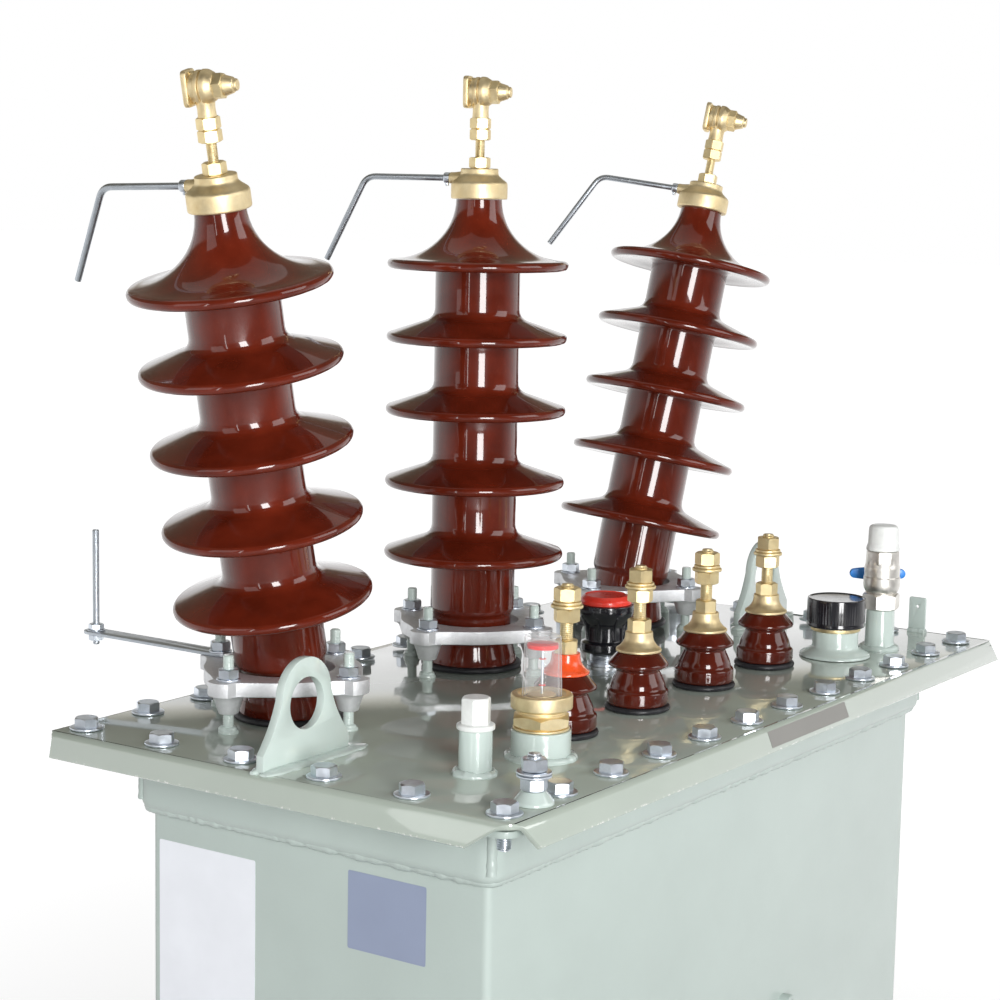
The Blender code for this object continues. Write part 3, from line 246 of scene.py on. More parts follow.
# Camera, from the photograph's perspective
CAMERA_PLACE = Vector((-1.8338, -1.1657, COVER_TOP + 0.4778))
CAMERA_YAW = math.radians(55.74)
CAMERA_PITCH = math.radians(8.0)
CAMERA_ROLL = math.radians(1.08)
CAMERA_LENS = 83.48


# Materials

def painted_tree(name):
    """A new material with its node tree, shader and Object coordinates."""
    material = bpy.data.materials.new(name)
    material.use_nodes = True
    nodes = material.node_tree.nodes
    coords = nodes.new("ShaderNodeTexCoord").outputs["Object"]
    return material, material.node_tree, nodes["Principled BSDF"], coords


def noise(tree, coords, scale, detail=3.0, roughness=0.5, stretch=None):
    """Noise over the coordinates, stretched where a grain runs one way."""
    if stretch:
        mapping = tree.nodes.new("ShaderNodeMapping")
        mapping.inputs["Scale"].default_value = stretch
        tree.links.new(coords, mapping.inputs["Vector"])
        coords = mapping.outputs["Vector"]
    texture = tree.nodes.new("ShaderNodeTexNoise")
    texture.inputs["Scale"].default_value = scale
    texture.inputs["Detail"].default_value = detail
    texture.inputs["Roughness"].default_value = roughness
    tree.links.new(coords, texture.inputs["Vector"])
    return texture.outputs["Fac"]


def ramp(tree, factor, stops):
    """A colour ramp; each stop is a position and a colour or grey value."""
    node = tree.nodes.new("ShaderNodeValToRGB")
    elements = node.color_ramp.elements
    while len(elements) < len(stops):
        elements.new(0.5)
    for element, (position, colour) in zip(elements, stops):
        element.position = position
        element.color = (*colour, 1.0) if isinstance(colour, tuple) else (colour, colour, colour, 1.0)
    tree.links.new(factor, node.inputs["Fac"])
    return node.outputs["Color"]


def blend_colour(tree, factor, first, second, kind="MIX"):
    """Mix two colour outputs or constants by a factor output."""
    node = tree.nodes.new("ShaderNodeMix")
    node.data_type = "RGBA"
    node.blend_type = kind
    for socket, value in ((node.inputs[0], factor), (node.inputs[6], first), (node.inputs[7], second)):
        if isinstance(value, bpy.types.NodeSocket):
            tree.links.new(value, socket)
        elif isinstance(value, tuple):
            socket.default_value = (*value, 1.0)
        else:
            socket.default_value = value
    return node.outputs[2]


def bump(tree, height, distance, strength=1.0, below=None):
    """A small relief from a height output, on top of the one below."""
    node = tree.nodes.new("ShaderNodeBump")
    node.inputs["Distance"].default_value = distance
    node.inputs["Strength"].default_value = strength
    tree.links.new(height, node.inputs["Height"])
    if below is not None:
        tree.links.new(below, node.inputs["Normal"])
    return node.outputs["Normal"]


def scaled(colour, factor):
    return tuple(min(1.0, channel * factor) for channel in colour)


def chipped(tree, coords, colour, edge_height):
    """Bare metal shows in short chips along a folded edge at this height."""
    height = tree.nodes.new("ShaderNodeSeparateXYZ")
    tree.links.new(coords, height.inputs[0])
    near = tree.nodes.new("ShaderNodeMapRange")
    near.inputs["From Min"].default_value = edge_height + 0.0022
    near.inputs["From Max"].default_value = edge_height
    tree.links.new(height.outputs["Z"], near.inputs["Value"])
    flakes = ramp(tree, noise(tree, coords, 190.0, 6.0, 0.7), [(0.56, 0.0), (0.60, 1.0)])
    share = blend_colour(tree, 1.0, flakes, near.outputs["Result"], "MULTIPLY")
    return blend_colour(tree, share, colour, (0.86, 0.86, 0.83))


def enamel(name, colour, gloss, coat, peel=0.00004, wave=0.0004, chips_at=None, coat_ior=1.5):
    """Stoved enamel: faint mottling, small lighter specks, an orange-peel skin and a clear gloss."""
    material, tree, shader, coords = painted_tree(name)
    mottled = ramp(tree, noise(tree, coords, 9.0, 4.0),
        [(0.3, scaled(colour, 0.96)), (0.7, scaled(colour, 1.03))])
    # Small specks a quarter lighter than the paint, spread at random over the mottling.
    specks = ramp(tree, noise(tree, coords, 900.0, 2.0), [(0.70, 0.0), (0.78, 0.35)])
    specked_paint = blend_colour(tree, specks, mottled, scaled(colour, 1.25))
    smear = ramp(tree, noise(tree, coords, 22.0, 5.0, 0.65), [(0.56, 0.0), (0.80, 0.14)])
    paint = blend_colour(tree, smear, specked_paint, scaled(colour, 0.86))
    if chips_at is not None:
        paint = chipped(tree, coords, paint, chips_at)
    tree.links.new(paint, shader.inputs["Base Color"])
    rough = ramp(tree, noise(tree, coords, 35.0, 4.0, 0.6), [(0.35, gloss), (0.75, gloss + 0.06)])
    tree.links.new(rough, shader.inputs["Roughness"])
    skin = bump(tree, noise(tree, coords, 260.0, 2.0), peel)
    swell = bump(tree, noise(tree, coords, 11.0, 1.0), wave, 1.0, skin)
    tree.links.new(swell, shader.inputs["Normal"])
    shader.inputs["Coat Weight"].default_value = coat
    shader.inputs["Coat Roughness"].default_value = 0.02
    shader.inputs["Coat IOR"].default_value = coat_ior
    return material


def glaze(name, colour):
    """Glazed porcelain: deep brown, thinner and redder in patches, with small bright specks."""
    material, tree, shader, coords = painted_tree(name)
    depth = ramp(tree, noise(tree, coords, 30.0, 3.0),
        [(0.3, scaled(colour, 0.72)), (0.7, scaled(colour, 1.25))])
    flecks = ramp(tree, noise(tree, coords, 1100.0, 1.0), [(0.74, 0.0), (0.80, 0.5)])
    tree.links.new(blend_colour(tree, flecks, depth, (0.42, 0.12, 0.05)), shader.inputs["Base Color"])
    ripple = bump(tree, noise(tree, coords, 60.0, 2.0, 0.5, (1.0, 1.0, 0.3)), 0.0004)
    tree.links.new(ripple, shader.inputs["Normal"])
    shader.inputs["Roughness"].default_value = 0.22
    shader.inputs["Specular IOR Level"].default_value = 0.12
    shader.inputs["Coat Weight"].default_value = 1.0
    shader.inputs["Coat Roughness"].default_value = 0.035
    return material


def metal(name, colour, tarnish, gloss, grain=420.0, depth=0.00006, stretch=None, metalness=1.0):
    """Bare or plated metal with tarnished patches and a fine grain."""
    material, tree, shader, coords = painted_tree(name)
    patches = ramp(tree, noise(tree, coords, 70.0, 5.0, 0.6), [(0.35, 0.0), (0.72, 1.0)])
    clean = blend_colour(tree, noise(tree, coords, 300.0, 3.0), scaled(colour, 0.90), scaled(colour, 1.08))
    tree.links.new(blend_colour(tree, patches, clean, tarnish), shader.inputs["Base Color"])
    rough = ramp(tree, noise(tree, coords, 160.0, 4.0, 0.6), [(0.3, gloss), (0.75, gloss + 0.16)])
    tree.links.new(rough, shader.inputs["Roughness"])
    tree.links.new(bump(tree, noise(tree, coords, grain, 4.0, 0.6, stretch), depth), shader.inputs["Normal"])
    shader.inputs["Metallic"].default_value = metalness
    return material


def moulded(name, colour, gloss, grain=500.0, depth=0.00004, coat=0.0):
    """Moulded plastic or rubber with a faint texture and handling marks."""
    material, tree, shader, coords = painted_tree(name)
    shade = ramp(tree, noise(tree, coords, 60.0, 4.0),
        [(0.3, scaled(colour, 0.88)), (0.7, scaled(colour, 1.10))])
    tree.links.new(shade, shader.inputs["Base Color"])
    rough = ramp(tree, noise(tree, coords, 120.0, 4.0), [(0.3, gloss), (0.7, gloss + 0.12)])
    tree.links.new(rough, shader.inputs["Roughness"])
    tree.links.new(bump(tree, noise(tree, coords, grain, 3.0), depth), shader.inputs["Normal"])
    shader.inputs["Coat Weight"].default_value = coat
    return material


def clear_tube(name):
    """Clear moulded tube: see-through where it faces the eye, whiter towards its edges."""
    material, tree, shader, coords = painted_tree(name)
    rough = ramp(tree, noise(tree, coords, 240.0, 4.0, 0.5, (1.0, 1.0, 0.1)), [(0.45, 0.03), (0.8, 0.14)])
    tree.links.new(rough, shader.inputs["Roughness"])
    tint = ramp(tree, noise(tree, coords, 40.0), [(0.3, (0.86, 0.88, 0.90)), (0.7, (0.95, 0.96, 0.97))])
    tree.links.new(tint, shader.inputs["Base Color"])
    rim = tree.nodes.new("ShaderNodeLayerWeight")
    rim.inputs["Blend"].default_value = 0.35
    tree.links.new(ramp(tree, rim.outputs["Facing"], [(0.05, 0.07), (0.45, 0.15), (0.85, 0.80)]),
        shader.inputs["Alpha"])
    return material


def film(name, colour, gloss):
    """Printed film or paper, with faint creases."""
    material, tree, shader, coords = painted_tree(name)
    shade = ramp(tree, noise(tree, coords, 25.0, 3.0),
        [(0.3, scaled(colour, 0.97)), (0.7, scaled(colour, 1.02))])
    tree.links.new(shade, shader.inputs["Base Color"])
    rough = ramp(tree, noise(tree, coords, 50.0, 2.0), [(0.3, gloss), (0.7, gloss + 0.1)])
    tree.links.new(rough, shader.inputs["Roughness"])
    tree.links.new(bump(tree, noise(tree, coords, 30.0, 2.0), 0.0004, 0.5), shader.inputs["Normal"])
    return material


# One paint for the tank, the cover and its fittings, copied in three shades for how light falls on them:
# painted lighter on the fittings that stand on the cover, painted darker on the cover sheet, and painted a
# little darker on the tank.
PAINT = (0.50, 0.58, 0.545)
fitting_enamel_painted_lighter = enamel("fitting_enamel_painted_lighter", scaled(PAINT, 1.15), 0.20, 0.7)
sheet_enamel_painted_darker = enamel("sheet_enamel_painted_darker", (0.44, 0.50, 0.44), 0.08, 1.0, 0.000015, 0.00015,
    chips_at=COVER_TOP - FLANGE_DROP, coat_ior=1.75)
tank_enamel_painted_darker = enamel("tank_enamel_painted_darker", scaled(PAINT, 0.95), 0.34, 0.5, 0.00010, 0.0006)
brown_glaze = glaze("brown_glaze", (0.120, 0.0140, 0.0052))
dark_glaze = glaze("dark_glaze", (0.078, 0.0100, 0.0045))
cast_brass = metal("cast_brass", (0.92, 0.78, 0.50), (0.80, 0.64, 0.36), 0.44, 620.0, 0.00012)
turned_brass = metal("turned_brass", (0.90, 0.76, 0.46), (0.80, 0.64, 0.35), 0.40, 900.0, 0.00002,
    (1.0, 1.0, 6.0))
zinc = metal("zinc_plate", (0.76, 0.81, 0.88), (0.62, 0.67, 0.73), 0.28, 500.0, 0.00002)
horn_steel = metal("horn_steel", (0.56, 0.60, 0.64), (0.47, 0.51, 0.56), 0.32, 500.0, 0.000003)
rough_casting = metal("rough_casting", (0.88, 0.89, 0.91), (0.76, 0.77, 0.79), 0.46, 520.0, 0.00022,
    metalness=0.75)
nickel = metal("nickel_plate", (0.86, 0.84, 0.80), (0.74, 0.71, 0.66), 0.34, 500.0, 0.00002)
black_rubber = moulded("black_rubber", (0.018, 0.018, 0.022), 0.38, 300.0, 0.00010)
black_plastic = moulded("black_plastic", (0.012, 0.012, 0.016), 0.14, coat=0.8)
white_plastic = moulded("white_plastic", (0.86, 0.88, 0.86), 0.34, coat=0.2)
red_plastic = moulded("red_plastic", (0.84, 0.05, 0.03), 0.26, coat=0.3)
float_red = moulded("float_red", (0.90, 0.012, 0.008), 0.55)
orange_paint = moulded("orange_paint", (0.80, 0.085, 0.016), 0.20, 180.0, 0.00008, 0.6)
blue_plastic = moulded("blue_plastic", (0.03, 0.24, 0.72), 0.30, coat=0.2)
clear_plastic = clear_tube("clear_plastic")
white_film = film("white_film", (0.86, 0.88, 0.93), 0.30)
lilac_film = film("lilac_film", (0.29, 0.335, 0.46), 0.34)
silver_film = film("silver_film", (0.27, 0.264, 0.248), 0.34)


# Mesh helpers

def at(x, y, z):
    return Matrix.Translation((x, y, z))


def fillet(outline, closed=False, steps=4):
    """Turn the corners of an outline of (x, y, radius) points into small curves."""
    count = len(outline)
    points = []
    for i, (x, y, radius) in enumerate(outline):
        here = Vector((x, y))
        if radius <= 0.0 or (not closed and i in (0, count - 1)):
            points.append((x, y))
            continue
        before = Vector(outline[i - 1][:2]) - here
        after = Vector(outline[(i + 1) % count][:2]) - here
        reach = min(radius, 0.48 * before.length, 0.48 * after.length)
        start = here + before.normalized() * reach
        end = here + after.normalized() * reach
        for step in range(steps + 1):
            t = step / steps
            point = start * (1 - t) ** 2 + here * (2 * t * (1 - t)) + end * t ** 2
            points.append((point.x, point.y))
    return points


def arc(centre, radius, start, end, steps):
    angles = [start + (end - start) * i / steps for i in range(steps + 1)]
    return [(centre[0] + radius * math.cos(a), centre[1] + radius * math.sin(a)) for a in angles]


def rounded_rectangle(width, height, corner):
    """The outline of a rectangle round its middle, with rounded corners."""
    spots = ((1, 1), (-1, 1), (-1, -1), (1, -1))
    return fillet([(sx * width / 2, sy * height / 2, corner) for sx, sy in spots], True)


def finish(name, bm, material, matrix=None, sharp=30.0):
    """Weld doubles, point the faces outwards and make the object."""
    bmesh.ops.remove_doubles(bm, verts=bm.verts, dist=1e-6)
    bmesh.ops.recalc_face_normals(bm, faces=bm.faces)
    mesh = bpy.data.meshes.new(name)
    bm.to_mesh(mesh)
    bm.free()
    mesh.materials.append(material)
    mesh.shade_smooth()
    mesh.set_sharp_from_angle(angle=math.radians(sharp))
    if matrix is not None:
        mesh.transform(matrix)
    obj = bpy.data.objects.new(name, mesh)
    bpy.context.scene.collection.objects.link(obj)
    return obj


def lathe(name, outline, material, matrix=None, segments=64, sharp=30.0, steps=4):
    """Spin a filleted outline of (radius, height, fillet) points round Z."""
    profile = fillet([(*point, 0.0)[:3] for point in outline], steps=steps)
    bm = bmesh.new()
    verts = [bm.verts.new((radius, 0.0, height)) for radius, height in profile]
    pairs = list(zip(verts, verts[1:]))
    if profile[0][0] > 1e-6:
        pairs.append((verts[-1], verts[0]))
    edges = [bm.edges.new(pair) for pair in pairs]
    bmesh.ops.spin(bm, geom=verts + edges, cent=(0, 0, 0), axis=(0, 0, 1), angle=math.tau, steps=segments,
        use_merge=True)
    return finish(name, bm, material, matrix, sharp)


def plate(name, outline, thickness, material, matrix=None, bevel=0.0006, holes=()):
    """A flat plate with softened edges; holes are closed outlines too."""
    bm = bmesh.new()
    for loop in (outline, *holes):
        verts = [bm.verts.new((x, y, 0.0)) for x, y in loop]
        for first, second in zip(verts, verts[1:] + verts[:1]):
            bm.edges.new((first, second))
    bmesh.ops.triangle_fill(bm, edges=bm.edges, use_beauty=True)
    bmesh.ops.dissolve_limit(bm, angle_limit=0.01, verts=bm.verts, edges=bm.edges)
    moved = bmesh.ops.extrude_face_region(bm, geom=bm.faces[:])
    tops = [item for item in moved["geom"] if isinstance(item, bmesh.types.BMVert)]
    bmesh.ops.translate(bm, verts=tops, vec=(0, 0, thickness))
    bmesh.ops.recalc_face_normals(bm, faces=bm.faces)
    if bevel > 0.0:
        rims = [edge for edge in bm.edges if edge.calc_face_angle(0.0) > math.radians(50)]
        bmesh.ops.bevel(bm, geom=rims, offset=bevel, segments=2, profile=0.5, affect="EDGES")
    return finish(name, bm, material, matrix)


def swept_frame(name, half_length, half_width, profile, material, corner_of, corner_steps=6):
    """Sweep a closed (outward, height) profile round a rectangle.

    corner_of gives the corner radius for each point's outward reach.
    """
    bm = bmesh.new()
    rings = []
    for sx, sy, start in ((1, 1, 0.0), (-1, 1, 0.5), (-1, -1, 1.0), (1, -1, 1.5)):
        for step in range(corner_steps + 1):
            angle = (start + 0.5 * step / corner_steps) * math.pi
            ring = []
            for out, z in profile:
                radius = corner_of(out)
                ring.append(bm.verts.new((sx * (half_length + out - radius) + radius * math.cos(angle),
                    sy * (half_width + out - radius) + radius * math.sin(angle), z)))
            rings.append(ring)
    count = len(profile)
    for i, ring in enumerate(rings):
        following = rings[(i + 1) % len(rings)]
        for j in range(count):
            k = (j + 1) % count
            bm.faces.new((ring[j], ring[k], following[k], following[j]))
    return finish(name, bm, material)


def bevelled(obj, width, segments=2, angle=35.0):
    """Apply a Bevel modifier to the object's sharp edges."""
    modifier = obj.modifiers.new("soft_edges", "BEVEL")
    modifier.width = width
    modifier.segments = segments
    modifier.limit_method = "ANGLE"
    modifier.angle_limit = math.radians(angle)
    return applied(obj)


def applied(obj, sharp=30.0):
    """Replace the object's mesh by what its modifiers make of it."""
    graph = bpy.context.evaluated_depsgraph_get()
    mesh = bpy.data.meshes.new_from_object(obj.evaluated_get(graph))
    obj.modifiers.clear()
    obj.data = mesh
    mesh.name = obj.name
    mesh.shade_smooth()
    mesh.set_sharp_from_angle(angle=math.radians(sharp))
    return obj


def joined(name, pieces):
    """Put several meshes into one object, keeping their materials."""
    bm = bmesh.new()
    materials = []
    for piece in pieces:
        start = len(bm.faces)
        bm.from_mesh(piece.data)
        bm.faces.ensure_lookup_table()
        for face in bm.faces[start:]:
            material = piece.data.materials[face.material_index]
            if material not in materials:
                materials.append(material)
            face.material_index = materials.index(material)
    mesh = bpy.data.meshes.new(name)
    bm.to_mesh(mesh)
    bm.free()
    for material in materials:
        mesh.materials.append(material)
    for piece in pieces:
        bpy.data.objects.remove(piece, do_unlink=True)
    obj = bpy.data.objects.new(name, mesh)
    bpy.context.scene.collection.objects.link(obj)
    return obj


def swept_rod(name, path, radius, material, resolution=6):
    """A round rod along a path of points, with closed ends."""
    curve = bpy.data.curves.new(name, "CURVE")
    curve.dimensions = "3D"
    curve.bevel_depth = radius
    curve.bevel_resolution = resolution
    curve.use_fill_caps = True
    spline = curve.splines.new("POLY")
    spline.points.add(len(path) - 1)
    for point, place in zip(spline.points, path):
        point.co = (*place, 1.0)
    guide = bpy.data.objects.new(name, curve)
    bpy.context.scene.collection.objects.link(guide)
    graph = bpy.context.evaluated_depsgraph_get()
    bm = bmesh.new()
    bm.from_mesh(bpy.data.meshes.new_from_object(guide.evaluated_get(graph)))
    bpy.data.objects.remove(guide, do_unlink=True)
    return bevelled(finish(name, bm, material, sharp=50.0), 0.25 * radius, 2, 60.0)


def dress(piece, body, slot, *stands_for):
    """Let a piece ride on a body and hide the nodes that it stands for."""
    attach(piece, body)
    if stands_for:
        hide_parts(*stands_for)
    return piece


# Node trees for what repeats

def new_tree(name, sizes):
    """A geometry node tree with a geometry, sizes and a material as its inputs."""
    tree = bpy.data.node_groups.new(name, "GeometryNodeTree")
    tree.interface.new_socket("Geometry", in_out="INPUT", socket_type="NodeSocketGeometry")
    for label, value in sizes.items():
        socket = tree.interface.new_socket(label, in_out="INPUT", socket_type="NodeSocketFloat")
        socket.default_value = value
    tree.interface.new_socket("Finish", in_out="INPUT", socket_type="NodeSocketMaterial")
    tree.interface.new_socket("Geometry", in_out="OUTPUT", socket_type="NodeSocketGeometry")
    return tree, tree.nodes.new("NodeGroupInput")


def node(tree, kind, links=None, **settings):
    """A node with its settings and its inputs, each an output, a value or left alone."""
    made = tree.nodes.new(kind)
    for key, value in settings.items():
        setattr(made, key, value)
    for key, value in (links or {}).items():
        socket = made.inputs[key]
        if isinstance(value, bpy.types.NodeSocket):
            tree.links.new(value, socket)
        else:
            socket.default_value = value
    return made


def maths(tree, operation, first, second=0.0, third=0.0):
    return node(tree, "ShaderNodeMath", {0: first, 1: second, 2: third}, operation=operation).outputs[0]


def close_tree(tree, inputs, geometry, smooth=True):
    """Realize what was made, give it its material and lead it out."""
    real = node(tree, "GeometryNodeRealizeInstances", {"Geometry": geometry})
    shaded = node(tree, "GeometryNodeSetShadeSmooth", {"Geometry": real.outputs[0], "Shade Smooth": smooth})
    dressed = node(tree, "GeometryNodeSetMaterial",
        {"Geometry": shaded.outputs[0], "Material": inputs.outputs["Finish"]})
    node(tree, "NodeGroupOutput", {"Geometry": dressed.outputs[0]})
    return tree


def set_on_points(tree, inputs, piece):
    """Stand a piece on each point, its Z along the point's axis and turned about it."""
    axis = node(tree, "GeometryNodeInputNamedAttribute", {"Name": "axis"}, data_type="FLOAT_VECTOR")
    turn = node(tree, "GeometryNodeInputNamedAttribute", {"Name": "turn"}, data_type="FLOAT")
    aligned = node(tree, "FunctionNodeAlignRotationToVector", {"Vector": axis.outputs["Attribute"]}, axis="Z")
    spin = node(tree, "FunctionNodeAxisAngleToRotation",
        {"Axis": (0, 0, 1), "Angle": turn.outputs["Attribute"]})
    turned = node(tree, "FunctionNodeRotateRotation",
        {"Rotation": aligned.outputs[0], "Rotate By": spin.outputs[0]}, rotation_space="LOCAL")
    placed = node(tree, "GeometryNodeInstanceOnPoints",
        {"Points": inputs.outputs["Geometry"], "Instance": piece, "Rotation": turned.outputs[0]})
    return placed.outputs["Instances"]


def raised(tree, geometry, height):
    offset = node(tree, "ShaderNodeCombineXYZ", {"Z": height})
    return node(tree, "GeometryNodeTransform",
        {"Geometry": geometry, "Translation": offset.outputs[0]}).outputs[0]


def hexagon_tree():
    """A hexagon nut or bolt head: its corners are cut by a cone at the top and, for a nut, below."""
    tree, inputs = new_tree("hexagon_fastener", {"Across Flats": 0.019, "Height": 0.008, "Bore": 0.0,
        "Lower Chamfer": 1.0})
    flats, height = inputs.outputs["Across Flats"], inputs.outputs["Height"]
    corner = maths(tree, "MULTIPLY", flats, 1.0 / math.sqrt(3.0))
    prism = node(tree, "GeometryNodeMeshCylinder", {"Vertices": 6, "Radius": corner, "Depth": height})
    prism = raised(tree, prism.outputs["Mesh"], maths(tree, "MULTIPLY", height, 0.5))
    narrow = maths(tree, "MULTIPLY", flats, 0.475)
    wide = maths(tree, "ADD", narrow, maths(tree, "DIVIDE", height, math.tan(math.radians(30))))
    cone = node(tree, "GeometryNodeMeshCone", {"Vertices": 48, "Radius Top": narrow, "Radius Bottom": wide,
        "Depth": height})
    top_cut = node(tree, "GeometryNodeMeshBoolean", {"Mesh 2": prism}, operation="INTERSECT", solver="EXACT")
    tree.links.new(cone.outputs["Mesh"], top_cut.inputs["Mesh 2"])
    share = inputs.outputs["Lower Chamfer"]
    low_narrow = maths(tree, "ADD", maths(tree, "MULTIPLY", narrow, share),
        maths(tree, "MULTIPLY", wide, maths(tree, "SUBTRACT", 1.0, share)))
    low_cone = node(tree, "GeometryNodeMeshCone",
        {"Vertices": 48, "Radius Top": wide, "Radius Bottom": low_narrow, "Depth": height})
    both_cut = node(tree, "GeometryNodeMeshBoolean", {"Mesh 2": top_cut.outputs["Mesh"]},
        operation="INTERSECT", solver="EXACT")
    tree.links.new(low_cone.outputs["Mesh"], both_cut.inputs["Mesh 2"])
    bore = node(tree, "GeometryNodeMeshCylinder", {"Vertices": 32, "Radius": inputs.outputs["Bore"],
        "Depth": 0.2})
    bored = node(tree, "GeometryNodeMeshBoolean",
        {"Mesh 1": both_cut.outputs["Mesh"], "Mesh 2": bore.outputs["Mesh"]}, operation="DIFFERENCE",
        solver="EXACT")
    return close_tree(tree, inputs, set_on_points(tree, inputs, bored.outputs["Mesh"]))


def washer_tree():
    """A flat washer with rolled edges."""
    tree, inputs = new_tree("flat_washer", {"Outer Radius": 0.015, "Inner Radius": 0.006, "Thickness": 0.002})
    outer, inner = inputs.outputs["Outer Radius"], inputs.outputs["Inner Radius"]
    thickness = inputs.outputs["Thickness"]
    middle = maths(tree, "MULTIPLY", maths(tree, "ADD", outer, inner), 0.5)
    circle = node(tree, "GeometryNodeCurvePrimitiveCircle", {"Resolution": 40, "Radius": middle})
    section = node(tree, "GeometryNodeCurvePrimitiveQuadrilateral",
        {"Width": maths(tree, "SUBTRACT", outer, inner), "Height": thickness})
    soft = node(tree, "GeometryNodeFilletCurve",
        {"Curve": section.outputs[0], "Count": 2, "Radius": maths(tree, "MULTIPLY", thickness, 0.35)},
        mode="POLY")
    ring = node(tree, "GeometryNodeCurveToMesh",
        {"Curve": circle.outputs[0], "Profile Curve": soft.outputs[0]})
    lifted = raised(tree, ring.outputs["Mesh"], maths(tree, "MULTIPLY", thickness, 0.5))
    return close_tree(tree, inputs, set_on_points(tree, inputs, lifted))


def thread_tree():
    """A threaded rod: the radius of a fine cylinder follows a helix, and its ends are chamfered."""
    tree, inputs = new_tree("threaded_rod", {"Radius": 0.005, "Pitch": 0.0015, "Length": 0.06,
        "Depth": 0.0006})
    radius, pitch = inputs.outputs["Radius"], inputs.outputs["Pitch"]
    length = inputs.outputs["Length"]
    rows = maths(tree, "MULTIPLY", maths(tree, "DIVIDE", length, pitch), 4.0)
    rod = node(tree, "GeometryNodeMeshCylinder", {"Vertices": 18, "Side Segments": rows, "Radius": radius,
        "Depth": length})
    place = node(tree, "GeometryNodeInputPosition")
    split = node(tree, "ShaderNodeSeparateXYZ", {"Vector": place.outputs[0]})
    x, y, z = split.outputs[0], split.outputs[1], split.outputs[2]
    lap = maths(tree, "DIVIDE", maths(tree, "ARCTAN2", y, x), math.tau)
    phase = maths(tree, "FRACT",
        maths(tree, "ADD", maths(tree, "SUBTRACT", maths(tree, "DIVIDE", z, pitch), lap), 100.0))
    crest = maths(tree, "ABSOLUTE", maths(tree, "MULTIPLY_ADD", phase, 2.0, -1.0))
    to_end = maths(tree, "SUBTRACT", maths(tree, "MULTIPLY", length, 0.5), maths(tree, "ABSOLUTE", z))
    ends = maths(tree, "MINIMUM", maths(tree, "DIVIDE", to_end, maths(tree, "MULTIPLY", radius, 0.25)), 1.0)
    cut = maths(tree, "MULTIPLY", crest, inputs.outputs["Depth"])
    end_cut = maths(tree, "MULTIPLY", maths(tree, "SUBTRACT", 1.0, ends),
        maths(tree, "MULTIPLY", radius, 0.16))
    factor = maths(tree, "SUBTRACT", 1.0, maths(tree, "DIVIDE", maths(tree, "ADD", cut, end_cut), radius))
    moved = node(tree, "ShaderNodeCombineXYZ",
        {"X": maths(tree, "MULTIPLY", x, factor), "Y": maths(tree, "MULTIPLY", y, factor), "Z": z})
    shaped = node(tree, "GeometryNodeSetPosition",
        {"Geometry": rod.outputs["Mesh"], "Position": moved.outputs[0]})
    lifted = raised(tree, shaped.outputs[0], maths(tree, "MULTIPLY", length, 0.5))
    return close_tree(tree, inputs, set_on_points(tree, inputs, lifted))


def weld_tree():
    """A weld bead along each path: a round bead whose size ripples and wanders."""
    tree, inputs = new_tree("weld_bead", {"Bead": 0.003, "Ripple Pitch": 0.0022, "Ripple Depth": 0.10,
        "Wander": 0.22, "Seed": 0.0})
    path = node(tree, "GeometryNodeMeshToCurve", {"Mesh": inputs.outputs["Geometry"]})
    step = maths(tree, "MULTIPLY", inputs.outputs["Ripple Pitch"], 0.25)
    even = node(tree, "GeometryNodeResampleCurve", {"Curve": path.outputs[0], "Length": step}, mode="LENGTH")
    along = node(tree, "GeometryNodeSplineParameter").outputs["Length"]
    lap = maths(tree, "DIVIDE", maths(tree, "MULTIPLY", along, math.tau), inputs.outputs["Ripple Pitch"])
    ripple = maths(tree, "MULTIPLY", maths(tree, "SINE", lap), inputs.outputs["Ripple Depth"])
    place = node(tree, "GeometryNodeInputPosition")
    shift = node(tree, "ShaderNodeCombineXYZ", {"Z": inputs.outputs["Seed"]})
    spot = node(tree, "ShaderNodeVectorMath", {0: place.outputs[0], 1: shift.outputs[0]}, operation="ADD")
    wander = node(tree, "ShaderNodeTexNoise", {"Vector": spot.outputs[0], "Scale": 110.0, "Detail": 2.0})
    drift = maths(tree, "MULTIPLY", maths(tree, "SUBTRACT", wander.outputs[0], 0.5),
        maths(tree, "MULTIPLY", inputs.outputs["Wander"], 4.0))
    share = maths(tree, "ADD", maths(tree, "ADD", 1.0, ripple), drift)
    size = maths(tree, "MULTIPLY", share, inputs.outputs["Bead"])
    section = node(tree, "GeometryNodeCurvePrimitiveCircle", {"Resolution": 10, "Radius": 1.0})
    bead = node(tree, "GeometryNodeCurveToMesh",
        {"Curve": even.outputs[0], "Profile Curve": section.outputs[0], "Scale": size, "Fill Caps": True})
    return close_tree(tree, inputs, bead.outputs["Mesh"])


def base_points(places):
    """A mesh of single points; each place is a position, an axis and a turn."""
    mesh = bpy.data.meshes.new("points")
    mesh.from_pydata([place[0] for place in places], [], [])
    axis = mesh.attributes.new("axis", "FLOAT_VECTOR", "POINT")
    axis.data.foreach_set("vector", [value for place in places for value in place[1]])
    turn = mesh.attributes.new("turn", "FLOAT", "POINT")
    turn.data.foreach_set("value", [place[2] for place in places])
    obj = bpy.data.objects.new("points", mesh)
    bpy.context.scene.collection.objects.link(obj)
    return obj


def base_paths(paths):
    """A mesh of edge chains; a path whose last point repeats its first one is closed."""
    verts, edges = [], []
    for path in paths:
        start = len(verts)
        closed = (Vector(path[0]) - Vector(path[-1])).length < 1e-7
        points = path[:-1] if closed else path
        verts += [tuple(point) for point in points]
        edges += [(start + i, start + i + 1) for i in range(len(points) - 1)]
        if closed:
            edges.append((start + len(points) - 1, start))
    mesh = bpy.data.meshes.new("paths")
    mesh.from_pydata(verts, edges, [])
    obj = bpy.data.objects.new("paths", mesh)
    bpy.context.scene.collection.objects.link(obj)
    return obj


